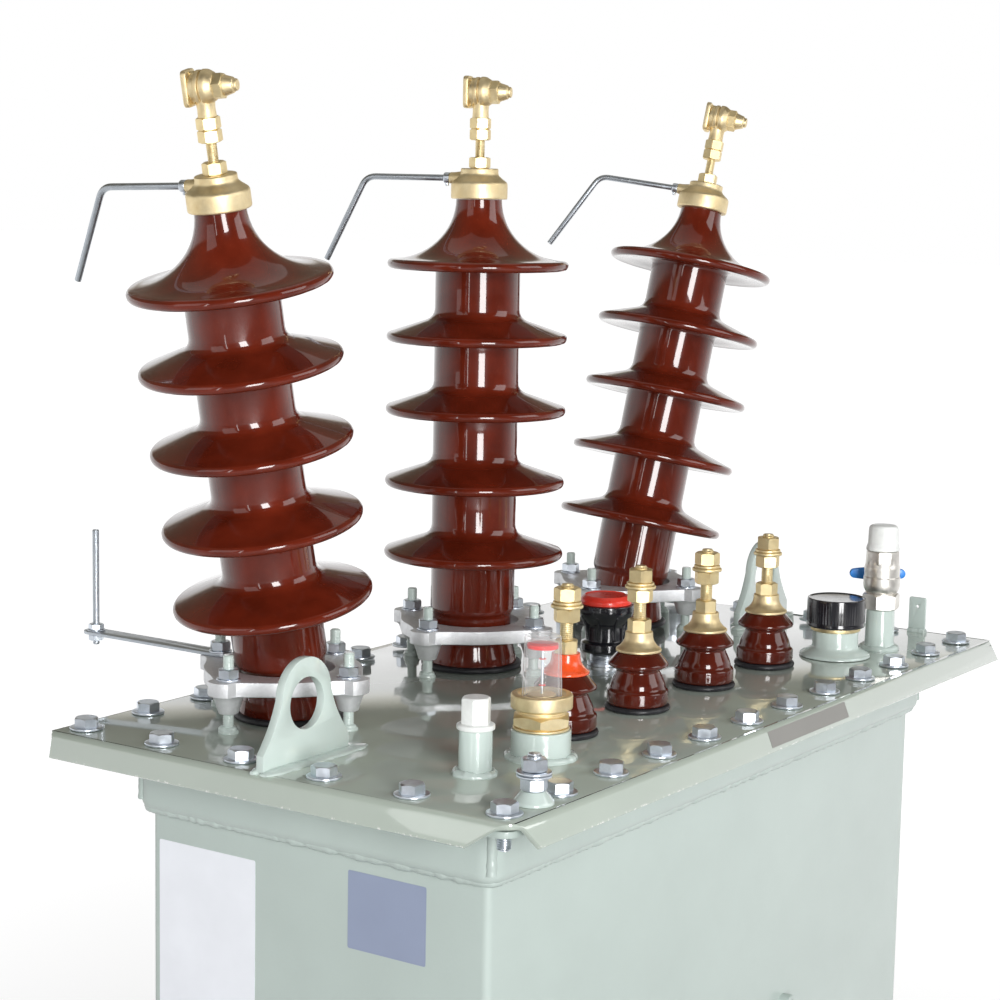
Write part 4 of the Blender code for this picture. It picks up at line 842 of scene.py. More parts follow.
def grown(name, base, tree, material, sharp=30.0, **sizes):
    """The plain mesh that a tree makes on its base, which is removed."""
    values = {key.replace("_", " ").title(): value for key, value in sizes.items()}
    values["Finish"] = material
    modifier = base.modifiers.new("grow", "NODES")
    modifier.node_group = tree
    for item in tree.interface.items_tree:
        if item.in_out == "INPUT" and item.name in values:
            modifier[item.identifier] = values[item.name]
    graph = bpy.context.evaluated_depsgraph_get()
    mesh = bpy.data.meshes.new_from_object(base.evaluated_get(graph))
    bpy.data.objects.remove(base, do_unlink=True)
    mesh.name = name
    mesh.set_sharp_from_angle(angle=math.radians(sharp))
    obj = bpy.data.objects.new(name, mesh)
    bpy.context.scene.collection.objects.link(obj)
    return obj


hexagons = hexagon_tree()
washers = washer_tree()
threads = thread_tree()
welds = weld_tree()


def hexagon_set(name, places, material, **sizes):
    return grown(name, base_points(places), hexagons, material, 20.0, **sizes)


def washer_set(name, places, material, **sizes):
    return grown(name, base_points(places), washers, material, **sizes)


def thread_set(name, places, material, sharp=60.0, **sizes):
    return grown(name, base_points(places), threads, material, sharp, **sizes)


def weld_set(name, paths, material, **sizes):
    return grown(name, base_paths(paths), welds, material, 60.0, **sizes)


def circle_path(x, y, z, radius, count=48):
    return [(*spot, z) for spot in arc((x, y), radius, 0.0, math.tau, count)]


def rectangle_path(half_x, half_y, z, corner=0.0):
    if corner <= 0.0:
        spots = [(half_x, half_y), (-half_x, half_y), (-half_x, -half_y), (half_x, -half_y)]
    else:
        spots = []
        for sx, sy, start in ((1, 1, 0.0), (-1, 1, 0.5), (-1, -1, 1.0), (1, -1, 1.5)):
            centre = (sx * (half_x - corner), sy * (half_y - corner))
            spots += arc(centre, corner, start * math.pi, (start + 0.5) * math.pi, 5)
    return [(x, y, z) for x, y in spots + spots[:1]]


UP = (0.0, 0.0, 1.0)
DOWN = (0.0, 0.0, -1.0)


# Tank

def build_tank():
    half_x, half_y = TANK_LENGTH / 2, TANK_WIDTH / 2
    outline = [(x, y) for x, y, _ in rectangle_path(half_x, half_y, 0.0, TANK_CORNER)[:-1]]
    low = FLOOR_THICKNESS + GAP
    shell = plate("tank_shell", outline, TANK_TOP - low, tank_enamel_painted_darker, at(0, 0, low), 0.0)
    boss_place = at(WALL_BOSS_X, -half_y, COVER_TOP - WALL_BOSS_BELOW_COVER)
    boss_place = boss_place @ Matrix.Rotation(math.pi / 2, 4, "X")
    boss = lathe("wall_boss", [(0.0, -0.004), (0.010, -0.004), (0.010, 0.010, 0.0015), (0.006, 0.010, 0.0008),
        (0.0052, 0.0085), (0.0052, 0.002), (0.0, 0.002)], tank_enamel_painted_darker, boss_place, 40)
    dress(joined("tank_walls", [shell, boss]), TANK, "paint", "tank_body")
    lipped = rounded_rectangle(TANK_LENGTH + 2 * FLOOR_LIP, TANK_WIDTH + 2 * FLOOR_LIP, 0.002)
    floor = plate("tank_floor_plate", lipped, FLOOR_THICKNESS, tank_enamel_painted_darker, None, 0.0008)
    dress(floor, TANK, "paint", "tank_floor")


def build_foot(name, side):
    """A rolled angle with a rounded root and toes, and a slot near each end."""
    inner = TANK_LENGTH / 2 + FLOOR_LIP + GAP
    leg, thick = FOOT_LEG, FOOT_THICKNESS
    section = fillet([(0.0, 0.0, 0.0008), (leg, 0.0, 0.0004), (leg, thick, 0.003), (thick, thick, 0.006),
        (thick, leg, 0.003), (0.0, leg, 0.0004)], True)
    length = TANK_WIDTH + 2 * FLOOR_LIP
    across = Matrix(((side, 0, 0, side * inner), (0, 0, 1, -length / 2), (0, 1, 0, 0), (0, 0, 0, 1)))
    angle = plate(name, section, length, tank_enamel_painted_darker, across, 0.0)
    tools = []
    for end in (-1, 1):
        half = (SLOT_LENGTH - SLOT_WIDTH) / 2
        spots = arc((half, 0), SLOT_WIDTH / 2, -math.pi / 2, math.pi / 2, 10)
        spots += arc((-half, 0), SLOT_WIDTH / 2, math.pi / 2, 1.5 * math.pi, 10)
        place = at(side * (inner + (leg + thick) / 2), end * (length / 2 - SLOT_INSET), -thick)
        tools.append(plate("slot", spots, 3 * thick, tank_enamel_painted_darker, place, 0.0))
    tool = joined("slots", tools)
    modifier = angle.modifiers.new("slots", "BOOLEAN")
    modifier.operation = "DIFFERENCE"
    modifier.solver = "EXACT"
    modifier.object = tool
    applied(angle)
    bpy.data.objects.remove(tool, do_unlink=True)
    fixed = bmesh.new()
    fixed.from_mesh(angle.data)
    bmesh.ops.recalc_face_normals(fixed, faces=fixed.faces)
    fixed.to_mesh(angle.data)
    fixed.free()
    dress(angle, TANK, "paint", "foot_left" if side < 0 else "foot_right")


def build_rim():
    half_x, half_y = TANK_LENGTH / 2 + GAP, TANK_WIDTH / 2 + GAP
    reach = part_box("rim_frame")[1].x - half_x
    low = TANK_TOP - RIM_DEPTH
    root = TANK_CORNER + GAP

    def corner_of(out):
        """The band runs round the tank's corner; the flange's own corner is tighter."""
        if out <= RIM_PROUD:
            return root + max(out, 0.0)
        share = (out - RIM_PROUD) / (reach - RIM_PROUD)
        return (root + RIM_PROUD) * (1 - share) + RIM_CORNER * share

    nose = arc((0.0, low + RIM_PROUD), RIM_PROUD, -math.pi / 2, 0.0, 8)
    section = [(0.0, TANK_TOP)] + nose
    section += fillet([nose[-1] + (0.0,), (RIM_PROUD, TANK_TOP - RIM_THICKNESS, 0.004),
        (reach, TANK_TOP - RIM_THICKNESS, 0.0015), (reach, TANK_TOP, 0.0008), (0.0, TANK_TOP, 0.0)])[1:-1]
    rim = swept_frame("rim_band", half_x, half_y, section, tank_enamel_painted_darker, corner_of)
    dress(rim, TANK, "paint", "rim_frame")
    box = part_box("cover_gasket")
    inner = box[1].x - half_x - 0.030
    outer = box[1].x - half_x
    thick = box[1].z - box[0].z
    strip = fillet([(inner, box[0].z, 0.0), (outer, box[0].z, 0.0012),
        (outer - 0.0006, box[0].z + thick / 2, 0.0012), (outer, box[1].z, 0.0012), (inner, box[1].z, 0.0)],
        True)
    gasket = swept_frame("cover_joint", half_x, half_y, strip, black_rubber, lambda out: 0.004)
    dress(gasket, TANK, "gasket_rubber", "cover_gasket")


def build_tank_welds():
    """Beads under the rim, up its corners, round the floor and along the feet."""
    half_x, half_y = TANK_LENGTH / 2, TANK_WIDTH / 2
    low = TANK_TOP - RIM_DEPTH
    under_rim = [rectangle_path(half_x + 0.0036, half_y + 0.0036, low + 0.0034, TANK_CORNER + 0.0036)]
    fine = weld_set("rim_weld", under_rim, tank_enamel_painted_darker, bead=0.0050, ripple_pitch=0.0080, ripple_depth=0.01,
        wander=0.26, seed=1.0)
    dress(fine, TANK, "paint")
    corners = []
    middle = TANK_CORNER + (RIM_PROUD + TANK_CORNER) * -math.cos(math.pi / 4)
    for sx in (-1, 1):
        for sy in (-1, 1):
            x, y = sx * (half_x - middle - 0.0008), sy * (half_y - middle - 0.0008)
            corners.append([(x, y, low + 0.010), (x, y, TANK_TOP - RIM_THICKNESS - 0.001)])
    beads = weld_set("rim_corner_weld", corners, tank_enamel_painted_darker, bead=0.0045, ripple_pitch=0.0070,
        ripple_depth=0.02, wander=0.14, seed=2.0)
    dress(beads, TANK, "paint")
    foot_x = half_x + FLOOR_LIP
    around = [rectangle_path(half_x + 0.001, half_y + 0.001, FLOOR_THICKNESS + 0.0008, TANK_CORNER)]
    for side in (-1, 1):
        around.append([(side * foot_x, -half_y, FLOOR_THICKNESS + 0.0005),
            (side * foot_x, half_y, FLOOR_THICKNESS + 0.0005)])
    base = weld_set("floor_weld", around, tank_enamel_painted_darker, bead=0.0028, ripple_pitch=0.0040, ripple_depth=0.03,
        wander=0.18, seed=3.0)
    dress(base, TANK, "paint")


# Cover

def build_cover():
    """The sheet, its four sides folded down over a soft radius and its corners cut away."""
    half_x, half_y = COVER_LENGTH / 2, COVER_WIDTH / 2
    bm = bmesh.new()
    top, ends = [], []
    for sx, sy, corner_cut, cut_long, cut_short in COVER_CORNERS:
        along_x = bm.verts.new((sx * (half_x - corner_cut), sy * half_y, 0.0))
        along_y = bm.verts.new((sx * half_x, sy * (half_y - corner_cut), 0.0))
        low_x = bm.verts.new((sx * (half_x - cut_long), sy * (half_y + FLANGE_OUT), -FLANGE_DROP))
        low_y = bm.verts.new((sx * (half_x + FLANGE_OUT), sy * (half_y - cut_short), -FLANGE_DROP))
        pair = [(along_x, low_x), (along_y, low_y)]
        if sx * sy > 0:
            pair.reverse()
        top += [vert for vert, _ in pair]
        ends += pair
    bm.faces.new(top)
    folds = []
    for i in range(1, len(ends), 2):
        first, second = ends[i], ends[(i + 1) % len(ends)]
        bm.faces.new((second[0], first[0], first[1], second[1]))
        folds.append(bm.edges.get((first[0], second[0])))
    bmesh.ops.bevel(bm, geom=folds, offset=FOLD_RADIUS, segments=6, profile=0.5, affect="EDGES")
    bmesh.ops.recalc_face_normals(bm, faces=bm.faces)
    if max(bm.faces, key=lambda face: face.calc_area()).normal.z < 0.0:
        bmesh.ops.reverse_faces(bm, faces=bm.faces)
    mesh = bpy.data.meshes.new("cover_sheet")
    bm.to_mesh(mesh)
    bm.free()
    mesh.materials.append(sheet_enamel_painted_darker)
    mesh.transform(at(0, 0, COVER_TOP))
    cover = bpy.data.objects.new("cover_sheet", mesh)
    bpy.context.scene.collection.objects.link(cover)
    sheet = cover.modifiers.new("sheet", "SOLIDIFY")
    sheet.thickness = COVER_THICKNESS
    sheet.offset = -1.0
    sheet.use_even_offset = True
    applied(cover)
    bevelled(cover, 0.0009, 2, 60.0)
    dress(cover, TANK, "paint", "cover_plate")


def bolt_places():
    """Bolt positions round the cover, and a turn for each head."""
    edge_x, edge_y = COVER_LENGTH / 2 - BOLT_INSET, COVER_WIDTH / 2 - BOLT_INSET
    spots = []
    for i in range(LONG_SIDE_BOLTS):
        x = -edge_x + (edge_x + LAST_BOLT_X) * i / (LONG_SIDE_BOLTS - 1)
        spots += [(x, -edge_y), (x, edge_y)]
    for i in range(1, SHORT_SIDE_BOLTS - 1):
        y = edge_y * (2 * i / (SHORT_SIDE_BOLTS - 1) - 1)
        spots += [(-edge_x, y), (edge_x, y)]
    return [(x, y, (37.0 * i) % 60.0) for i, (x, y) in enumerate(spots)]


def build_cover_bolts():
    """Hexagon heads on washers, with the thread ends showing under the rim."""
    heads, rings, tails = [], [], []
    for x, y, turn in bolt_places():
        angle = math.radians(turn)
        rings.append(((x, y, ON_COVER), UP, 0.0))
        heads.append(((x, y, ON_COVER + WASHER_THICKNESS + 0.0001), UP, angle))
        tails.append(((x, y, TANK_TOP - RIM_THICKNESS - GAP), DOWN, angle))
    pieces = [
        washer_set("bolt_washers", rings, zinc, outer_radius=WASHER_RADIUS, inner_radius=WASHER_BORE,
                   thickness=WASHER_THICKNESS),
        hexagon_set("bolt_heads", heads, zinc, across_flats=BOLT_FLATS, height=BOLT_HEAD, bore=0.0,
                    lower_chamfer=0.0),
        thread_set("bolt_tails", tails, zinc, radius=BOLT_RADIUS, pitch=BOLT_PITCH, length=BOLT_TAIL,
                   depth=0.0008, sharp=50.0),
    ]
    dress(joined("cover_bolts", pieces), TANK, "zinc_plate")


# High-voltage bushings

def bushing_order(x):
    """0 for the left bushing, 1 for the middle one and 2 for the right one."""
    return 1 + (x > 0) - (x < 0)


def bushing_frame(x):
    """Where a bushing's axis meets the cover's top, with Z along the leaning axis."""
    out, front = LEAN_OUT[bushing_order(x)], LEAN_FRONT[bushing_order(x)]
    axis = Vector((math.sin(out), -math.sin(front), 0.0))
    axis.z = math.sqrt(1.0 - axis.x ** 2 - axis.y ** 2)
    across = Vector((0, 1, 0)).cross(axis).normalized()
    return at(x, HV_Y, COVER_TOP) @ Matrix((across, axis.cross(across), axis)).transposed().to_4x4()


def ring_centre(x):
    """Where a leaning bushing's axis passes the middle of its clamp ring."""
    axis = bushing_frame(x).to_3x3() @ Vector((0, 0, 1))
    height = RING_UNDERSIDE + RING_THICKNESS / 2
    return x + axis.x / axis.z * height, HV_Y + axis.y / axis.z * height


def shed_outline(height, with_top=True):
    """A shed: hollow underside, round tip, and a conical top with a small fillet at the barrel."""
    tip = SHED_RADIUS - SHED_BEAD
    under = height - SHED_BEAD + SHED_UNDERCUT
    points = [(BARREL_RADIUS, under, 0.006), (tip - 0.016, under - 0.0045, 0.010)]
    slope = math.atan2(SHED_RISE - SHED_BEAD, tip - BARREL_RADIUS)
    points += [(x, y, 0.0) for x, y in arc((tip, height), SHED_BEAD, -0.62 * math.pi, 0.5 * math.pi - slope,
        14)]
    if with_top:
        points.append((BARREL_RADIUS, height + SHED_RISE, 0.009))
    return points


def porcelain_outline():
    waist_top = RING_UNDERSIDE + RING_THICKNESS + 0.006
    points = [(0.0, -0.030, 0.0), (FOOT_RADIUS, -0.030, 0.0), (FOOT_RADIUS, 0.010, 0.004),
        (WAIST_RADIUS, RING_UNDERSIDE - 0.001, 0.003), (WAIST_RADIUS, waist_top, 0.003),
        (BARREL_RADIUS, waist_top + 0.005, 0.003)]
    for i in reversed(range(1, SHED_COUNT)):
        points += shed_outline(SHED_TOP_HEIGHT - i * SHED_PITCH)
    points += shed_outline(SHED_TOP_HEIGHT, False)
    start_r, start_z = points[-1][:2]
    out, up = start_r - NECK_RADIUS, NECK_HEIGHT - start_z
    steps = 16
    for i in range(1, steps + 1):
        angle = 0.5 * math.pi * i / steps
        points.append((NECK_RADIUS + out * (1 - math.sin(angle)), NECK_HEIGHT - up * math.cos(angle), 0.0))
    points.append((0.0, NECK_HEIGHT, 0.0))
    return points


def build_porcelain(side, x):
    name = f"glazed_bushing_{side}"
    body = lathe(name, porcelain_outline(), brown_glaze, bushing_frame(x), 96, 50.0)
    bm = bmesh.new()
    bm.from_mesh(body.data)
    level = ON_COVER + SEAT_THICKNESS + GAP
    cut = bmesh.ops.bisect_plane(bm, geom=bm.verts[:] + bm.edges[:] + bm.faces[:], plane_co=(0, 0, level),
        plane_no=(0, 0, 1), clear_inner=True)
    rim = [item for item in cut["geom_cut"] if isinstance(item, bmesh.types.BMEdge)]
    bmesh.ops.holes_fill(bm, edges=rim, sides=0)
    bm.to_mesh(body.data)
    bm.free()
    dress(body, TANK, "brown_glaze", f"hv_porcelain_{side}")
    seat = lathe(f"bushing_seat_{side}",
        [(0.0, 0.0), (0.0488, 0.0, 0.001), (0.0495, SEAT_THICKNESS / 2, 0.002),
        (0.0482, SEAT_THICKNESS, 0.0015), (0.0, SEAT_THICKNESS)], black_rubber, at(x, HV_Y, ON_COVER), 72)
    dress(seat, TANK, "gasket_rubber", f"hv_seat_{side}")


def ring_edge(angle):
    """Radius of the clamp ring's outline at an angle: four lobes with slightly hollow sides."""
    quarter = (angle + math.pi / 4) % (math.pi / 2) - math.pi / 4
    side = STUD_CIRCLE * math.cos(math.pi / 4) + LOBE_RADIUS
    lobe_edge = math.atan2(LOBE_RADIUS * math.sin(math.pi / 4),
        STUD_CIRCLE + LOBE_RADIUS * math.cos(math.pi / 4))
    if abs(quarter) < lobe_edge:
        cos, sin = math.cos(quarter), math.sin(quarter)
        return STUD_CIRCLE * cos + math.sqrt(LOBE_RADIUS ** 2 - (STUD_CIRCLE * sin) ** 2)
    from_middle = math.pi / 4 - abs(quarter)
    share = 1.0 - from_middle / (math.pi / 4 - lobe_edge)
    hollow = RING_PINCH * (0.5 + 0.5 * math.cos(math.pi * share))
    return (side - hollow) / math.cos(from_middle)


def build_ring(side, x):
    """The cast ring: a rounded section swept round the bore, with a tapered boss at each stud."""
    centre_x, centre_y = ring_centre(x)
    segments = 192
    high = RING_THICKNESS
    bm = bmesh.new()
    rings = []
    for i in range(segments):
        angle = math.tau * i / segments
        outer = ring_edge(angle)
        section = fillet([(RING_BORE, 0.0, 0.0016), (outer, 0.0, 0.0014), (outer, high, 0.0009),
            (RING_BORE, high, 0.0009)], True, 3)
        rings.append([bm.verts.new((r * math.cos(angle), r * math.sin(angle), z)) for r, z in section])
    for i, ring in enumerate(rings):
        following = rings[(i + 1) % segments]
        for j in range(len(ring)):
            k = (j + 1) % len(ring)
            bm.faces.new((ring[j], ring[k], following[k], following[j]))
    pieces = [finish("ring", bm, rough_casting)]
    for i in range(4):
        angle = i * math.pi / 2
        place = at(STUD_CIRCLE * math.cos(angle), STUD_CIRCLE * math.sin(angle), 0)
        pieces.append(lathe("boss", [(0.0, -BOSS_HEIGHT), (BOSS_FOOT_RADIUS, -BOSS_HEIGHT, 0.0012),
            (BOSS_TOP_RADIUS - 0.001, -0.002, 0.004), (BOSS_TOP_RADIUS + 0.002, 0.001), (0.0, 0.001)],
            rough_casting, place, 40))
    casting = joined(f"clamp_casting_{side}", pieces)
    casting.data.transform(at(centre_x, centre_y, COVER_TOP + RING_UNDERSIDE))
    dress(casting, TANK, "cast_aluminium", f"hv_clamp_{side}")


def stud_places():
    for side, x in BUSHINGS:
        centre_x, centre_y = ring_centre(x)
        for i in range(4):
            angle = i * math.pi / 2
            yield side, i, centre_x + STUD_CIRCLE * math.cos(angle), centre_y + STUD_CIRCLE * math.sin(angle)


def build_clamp_studs():
    """Welded studs with weld splash at the foot, and a washer and nut on each ring lobe."""
    top = COVER_TOP + RING_UNDERSIDE + RING_THICKNESS
    studs, rings, nuts, splash = [], [], [], []
    for side, i, x, y in stud_places():
        lift = LOWER_STRIP_THICKNESS + GAP if side == "left" and i == 1 else 0.0
        studs.append(((x, y, ON_COVER), UP, 0.7 * i))
        rings.append(((x, y, top + lift), UP, 0.0))
        nuts.append(((x, y, top + lift + STUD_WASHER), UP, 0.9 * i + 0.35 * (side == "right")))
        splash.append(circle_path(x, y, ON_COVER + 0.0004, STUD_RADIUS + 0.0012, 20))
        splash.append(circle_path(x, y, ON_COVER + 0.0026, STUD_RADIUS + 0.0002, 20))
    rods = thread_set("clamp_studs", studs, fitting_enamel_painted_lighter, radius=STUD_RADIUS, pitch=STUD_PITCH,
        length=STUD_HEIGHT - GAP, depth=0.0005)
    dress(rods, TANK, "paint")
    pieces = [
        washer_set("stud_washers", rings, zinc, outer_radius=0.0105, inner_radius=0.0053,
                   thickness=STUD_WASHER),
        hexagon_set("stud_nuts", nuts, zinc, across_flats=STUD_NUT_FLATS, height=STUD_NUT, bore=0.0044,
                    lower_chamfer=1.0),
    ]
    dress(joined("clamp_nuts", pieces), TANK, "zinc_plate")
    feet = weld_set("stud_weld", splash, fitting_enamel_painted_lighter, bead=0.0026, ripple_pitch=0.0050, ripple_depth=0.06,
        wander=0.50, seed=4.0)
    dress(feet, TANK, "paint")


def terminal_cap(x):
    """Cast cap with the boss that holds the horn."""
    cap = lathe("cap", [(0.0, 0.0), (CAP_RADIUS - 0.0006, 0.0, 0.0005), (CAP_RADIUS, 0.0012, 0.001),
        (CAP_RADIUS, CAP_SKIRT, 0.004), (CAP_RADIUS - 0.004, CAP_SKIRT + 0.003, 0.003),
        (CAP_HUB_RADIUS + 0.003, CAP_SHOULDER - 0.001, 0.003), (CAP_HUB_RADIUS, CAP_SHOULDER + 0.002, 0.002),
        (CAP_HUB_RADIUS, CAP_HEIGHT, 0.0015), (0.0, CAP_HEIGHT)], cast_brass, None, 80, 40.0)
    sideways = at(0, 0, horn_height()) @ horn_turn(x) @ Matrix.Rotation(-math.pi / 2, 4, "X")
    boss = lathe("horn_boss", [(0.0, 0.008), (HORN_BOSS_RADIUS + 0.002, 0.008),
        (HORN_BOSS_RADIUS + 0.0008, 0.020, 0.004), (HORN_BOSS_RADIUS, 0.025, 0.003),
        (HORN_BOSS_RADIUS, HORN_BOSS_REACH, 0.001), (0.0, HORN_BOSS_REACH)], cast_brass, sideways, 32)
    return [cap, boss]


def pin_clamp(neck_base, head_height, along):
    """Clamp head: its neck, barrel, pin and back plate with two screws."""
    half = HEAD_LENGTH / 2
    neck = lathe("neck", [(0.0, neck_base - 0.001), (COUPLING_NECK_RADIUS, neck_base - 0.001),
        (COUPLING_NECK_RADIUS - 0.0006, neck_base + 0.007, 0.003),
        (COUPLING_NECK_RADIUS + 0.001, head_height - 0.006, 0.003), (0.0, head_height)], cast_brass, None, 40,
        40.0)
    head = lathe("head", [(0.0, -half), (HEAD_RADIUS - 0.003, -half, 0.0015),
        (HEAD_RADIUS - 0.0012, 0.002 - half, 0.001), (HEAD_RADIUS - 0.0012, -0.005, 0.0006),
        (HEAD_RADIUS + 0.0010, -0.0044, 0.0006), (HEAD_RADIUS + 0.0010, -0.0012, 0.0006),
        (HEAD_RADIUS - 0.0008, -0.0004, 0.0006), (HEAD_RADIUS - 0.0008, 0.0004, 0.0005),
        (HEAD_RADIUS + 0.0014, 0.0010, 0.0006), (HEAD_RADIUS + 0.0012, 0.0052, 0.0012),
        (HEAD_RADIUS - 0.0016, half - 0.0010, 0.002), (HEAD_RADIUS - 0.003, half, 0.001), (0.0, half)],
        cast_brass, along, 56)
    front = half + PIN_NUT_LENGTH
    pin = lathe("pin", [(0.0, half - 0.001), (0.0086, half - 0.001), (0.0088, front - 0.001, 0.0006),
        (PIN_RADIUS + 0.0008, front + PIN_LENGTH - 0.0034, 0.0010),
        (PIN_RADIUS - 0.0004, front + PIN_LENGTH - 0.0028, 0.0004),
        (PIN_RADIUS - 0.0006, front + PIN_LENGTH, 0.0016), (0.0, front + PIN_LENGTH)], cast_brass, along, 36)
    plate_half = HEAD_RADIUS + 0.002
    outline = rounded_rectangle(2 * plate_half, 2 * (HEAD_RADIUS - 0.002), 0.005)
    back = plate("back_plate", outline, HEAD_PLATE, cast_brass, along @ at(0, 0, -half - HEAD_PLATE + 0.001),
        0.0012)
    screws = []
    for end in (-1, 1):
        spot = along @ at(end * (plate_half - 0.0042), 0, -half - 0.001)
        screws.append(lathe("clamp_screw", [(0.0, -0.001), (0.0026, -0.001), (0.0026, 0.0065, 0.0008),
            (0.0, 0.0065)], turned_brass, spot, 20))
    return [neck, head, pin, back, *screws]


def build_hv_terminal(side, x):
    """Cap, nut, stud, coupling nuts and the pin clamp on top."""
    bare_top = CAP_HEIGHT + CAP_NUT_HEIGHT + STUD_BARE
    neck_base = bare_top + 2 * COUPLING_HEIGHT
    head_height = neck_base + COUPLING_NECK + HEAD_RADIUS - 0.001
    along = at(0, 0, head_height) @ Matrix.Rotation(PIN_TURN, 4, "Z") @ Matrix.Rotation(math.pi / 2, 4, "Y")
    pieces = terminal_cap(x) + pin_clamp(neck_base, head_height, along)
    ahead = tuple(along.to_3x3() @ Vector((0, 0, 1)))
    nut_spots = [((0, 0, CAP_HEIGHT), UP, 0.2), ((0, 0, bare_top), UP, 0.3),
        ((0, 0, bare_top + COUPLING_HEIGHT), UP, 0.3)]
    nuts = hexagon_set("nuts", nut_spots, turned_brass, across_flats=TERMINAL_FLATS, height=COUPLING_HEIGHT,
        bore=0.003, lower_chamfer=1.0)
    behind = tuple(along @ Vector((0, 0, HEAD_LENGTH / 2 - 0.0005)))
    pin_nut = hexagon_set("pin_nut", [(behind, ahead, 0.1)],
        turned_brass, across_flats=0.0196, height=PIN_NUT_LENGTH - 0.001, bore=0.003, lower_chamfer=0.0)
    stud = thread_set("stud", [((0, 0, CAP_HEIGHT - 0.002), UP, 0.0)], turned_brass,
        radius=TERMINAL_STUD_RADIUS, pitch=STUD_PITCH, length=bare_top - CAP_HEIGHT + 0.006, depth=0.0006)
    terminal = joined(f"brass_terminal_{side}", [*pieces, nuts, pin_nut, stud])
    terminal.data.transform(bushing_frame(x) @ at(0, 0, NECK_HEIGHT + GAP))
    dress(terminal, TANK, "brass", f"hv_terminal_{side}")


def horn_height():
    return CAP_HEIGHT - HORN_BOSS_RADIUS - 0.004


def horn_turn(x):
    return Matrix.Rotation(HORN_TURN[bushing_order(x)], 4, "Z")


def build_upper_horn(side, x):
    """Bent rod with a set collar and its screw beside the cap's boss."""
    place = bushing_frame(x) @ at(0, 0, NECK_HEIGHT + GAP + horn_height()) @ horn_turn(x)
    first = Vector((0, HORN_BOSS_REACH + GAP, 0))
    corner = Vector((0, HORN_REACH, 0))
    last = Vector((0, HORN_REACH + HORN_OUT, -HORN_DROP))
    into, out = (corner - first).normalized(), (last - corner).normalized()
    start, end = corner - into * HORN_BEND, corner + out * HORN_BEND
    path = [first]
    for i in range(11):
        t = i / 10
        path.append(start * (1 - t) ** 2 + corner * 2 * t * (1 - t) + end * t ** 2)
    rod = swept_rod("rod", path + [last], HORN_RADIUS, horn_steel)
    sideways = Matrix.Rotation(-math.pi / 2, 4, "X")
    collar = lathe("collar", [(HORN_RADIUS, HORN_BOSS_REACH + GAP), (0.0052, HORN_BOSS_REACH + GAP, 0.0006),
        (0.0052, HORN_BOSS_REACH + 0.006, 0.001), (HORN_RADIUS, HORN_BOSS_REACH + 0.0065)], zinc, sideways,
        28)
    screw = lathe("collar_screw", [(0.0, 0.0035), (0.0018, 0.0035), (0.0018, 0.0075, 0.0005), (0.0, 0.0075)],
        zinc, at(0, HORN_BOSS_REACH + 0.0035, 0) @ Matrix.Rotation(math.pi, 4, "X"), 16)
    horn = joined(f"horn_rod_{side}", [rod, collar, screw])
    horn.data.transform(place)
    dress(horn, TANK, "zinc_plate", f"upper_horn_{side}")


def build_lower_horn():
    centre_x, centre_y = ring_centre(-HV_SPACING)
    stud_y = centre_y + STUD_CIRCLE
    base = COVER_TOP + RING_UNDERSIDE + RING_THICKNESS + GAP
    half = LOWER_STRIP_WIDTH / 2
    length = LOWER_STRIP_LENGTH
    outline = arc((0, 0), half, math.pi, math.tau, 12) + arc((0, length), half, 0, math.pi, 12)
    bore = arc((0, 0), STUD_RADIUS + GAP, 0, math.tau * 19 / 20, 19)
    strip = plate("strip", outline, LOWER_STRIP_THICKNESS, horn_steel, at(centre_x, stud_y, base), 0.0004,
        (bore,))
    rod_y = stud_y + length - 0.002
    low = base - 0.010
    rod = thread_set("rod", [((centre_x, rod_y, low), UP, 0.0)], horn_steel, radius=LOWER_ROD_RADIUS,
        pitch=0.001, length=LOWER_ROD_HEIGHT, depth=0.0003)
    spots = [((centre_x, rod_y, base + LOWER_STRIP_THICKNESS + 0.0012), UP, 0.2),
        ((centre_x, rod_y, base - 0.0062), UP, 0.5)]
    nuts = hexagon_set("nuts", spots, zinc, across_flats=0.0125, height=0.0052, bore=0.003, lower_chamfer=1.0)
    ring = washer_set("ring", [((centre_x, rod_y, base + LOWER_STRIP_THICKNESS), UP, 0.0)], zinc,
        outer_radius=0.0085, inner_radius=0.0034, thickness=0.0012)
    dress(joined("lower_horn_strip", [strip, rod, nuts, ring]), TANK, "zinc_plate", "lower_horn")


# Low-voltage bushings

def build_low_voltage(number, x):
    place = at(x, LV_Y, ON_COVER)
    seat = lathe(f"low_seat_{number}", [(0.0, 0.0), (0.0292, 0.0, 0.001), (0.0300, 0.0025, 0.002),
        (0.0286, 0.005, 0.0015), (0.0, 0.005)], black_rubber, place, 56)
    dress(seat, TANK, "gasket_rubber", f"lv_seat_{number}")
    body = lathe(f"low_bushing_{number}", [(0.0, 0.0053), (0.0270, 0.0053, 0.0008), (0.0280, 0.0075, 0.002),
        (0.0280, 0.0178, 0.002), (0.0254, 0.0198, 0.002), (0.0244, 0.0250, 0.004), (0.0193, 0.0362, 0.003),
        (0.0222, 0.0378, 0.0015), (0.0272, 0.0404, 0.0014), (0.0274, 0.0428, 0.0014), (0.0188, 0.0530, 0.001),
        (0.0, 0.0530)], dark_glaze, place, 72, 50.0)
    dress(body, TANK, "brown_glaze", f"lv_porcelain_{number}")
    build_lv_terminal(number, place @ at(0, 0, LV_TOP_HEIGHT + GAP))


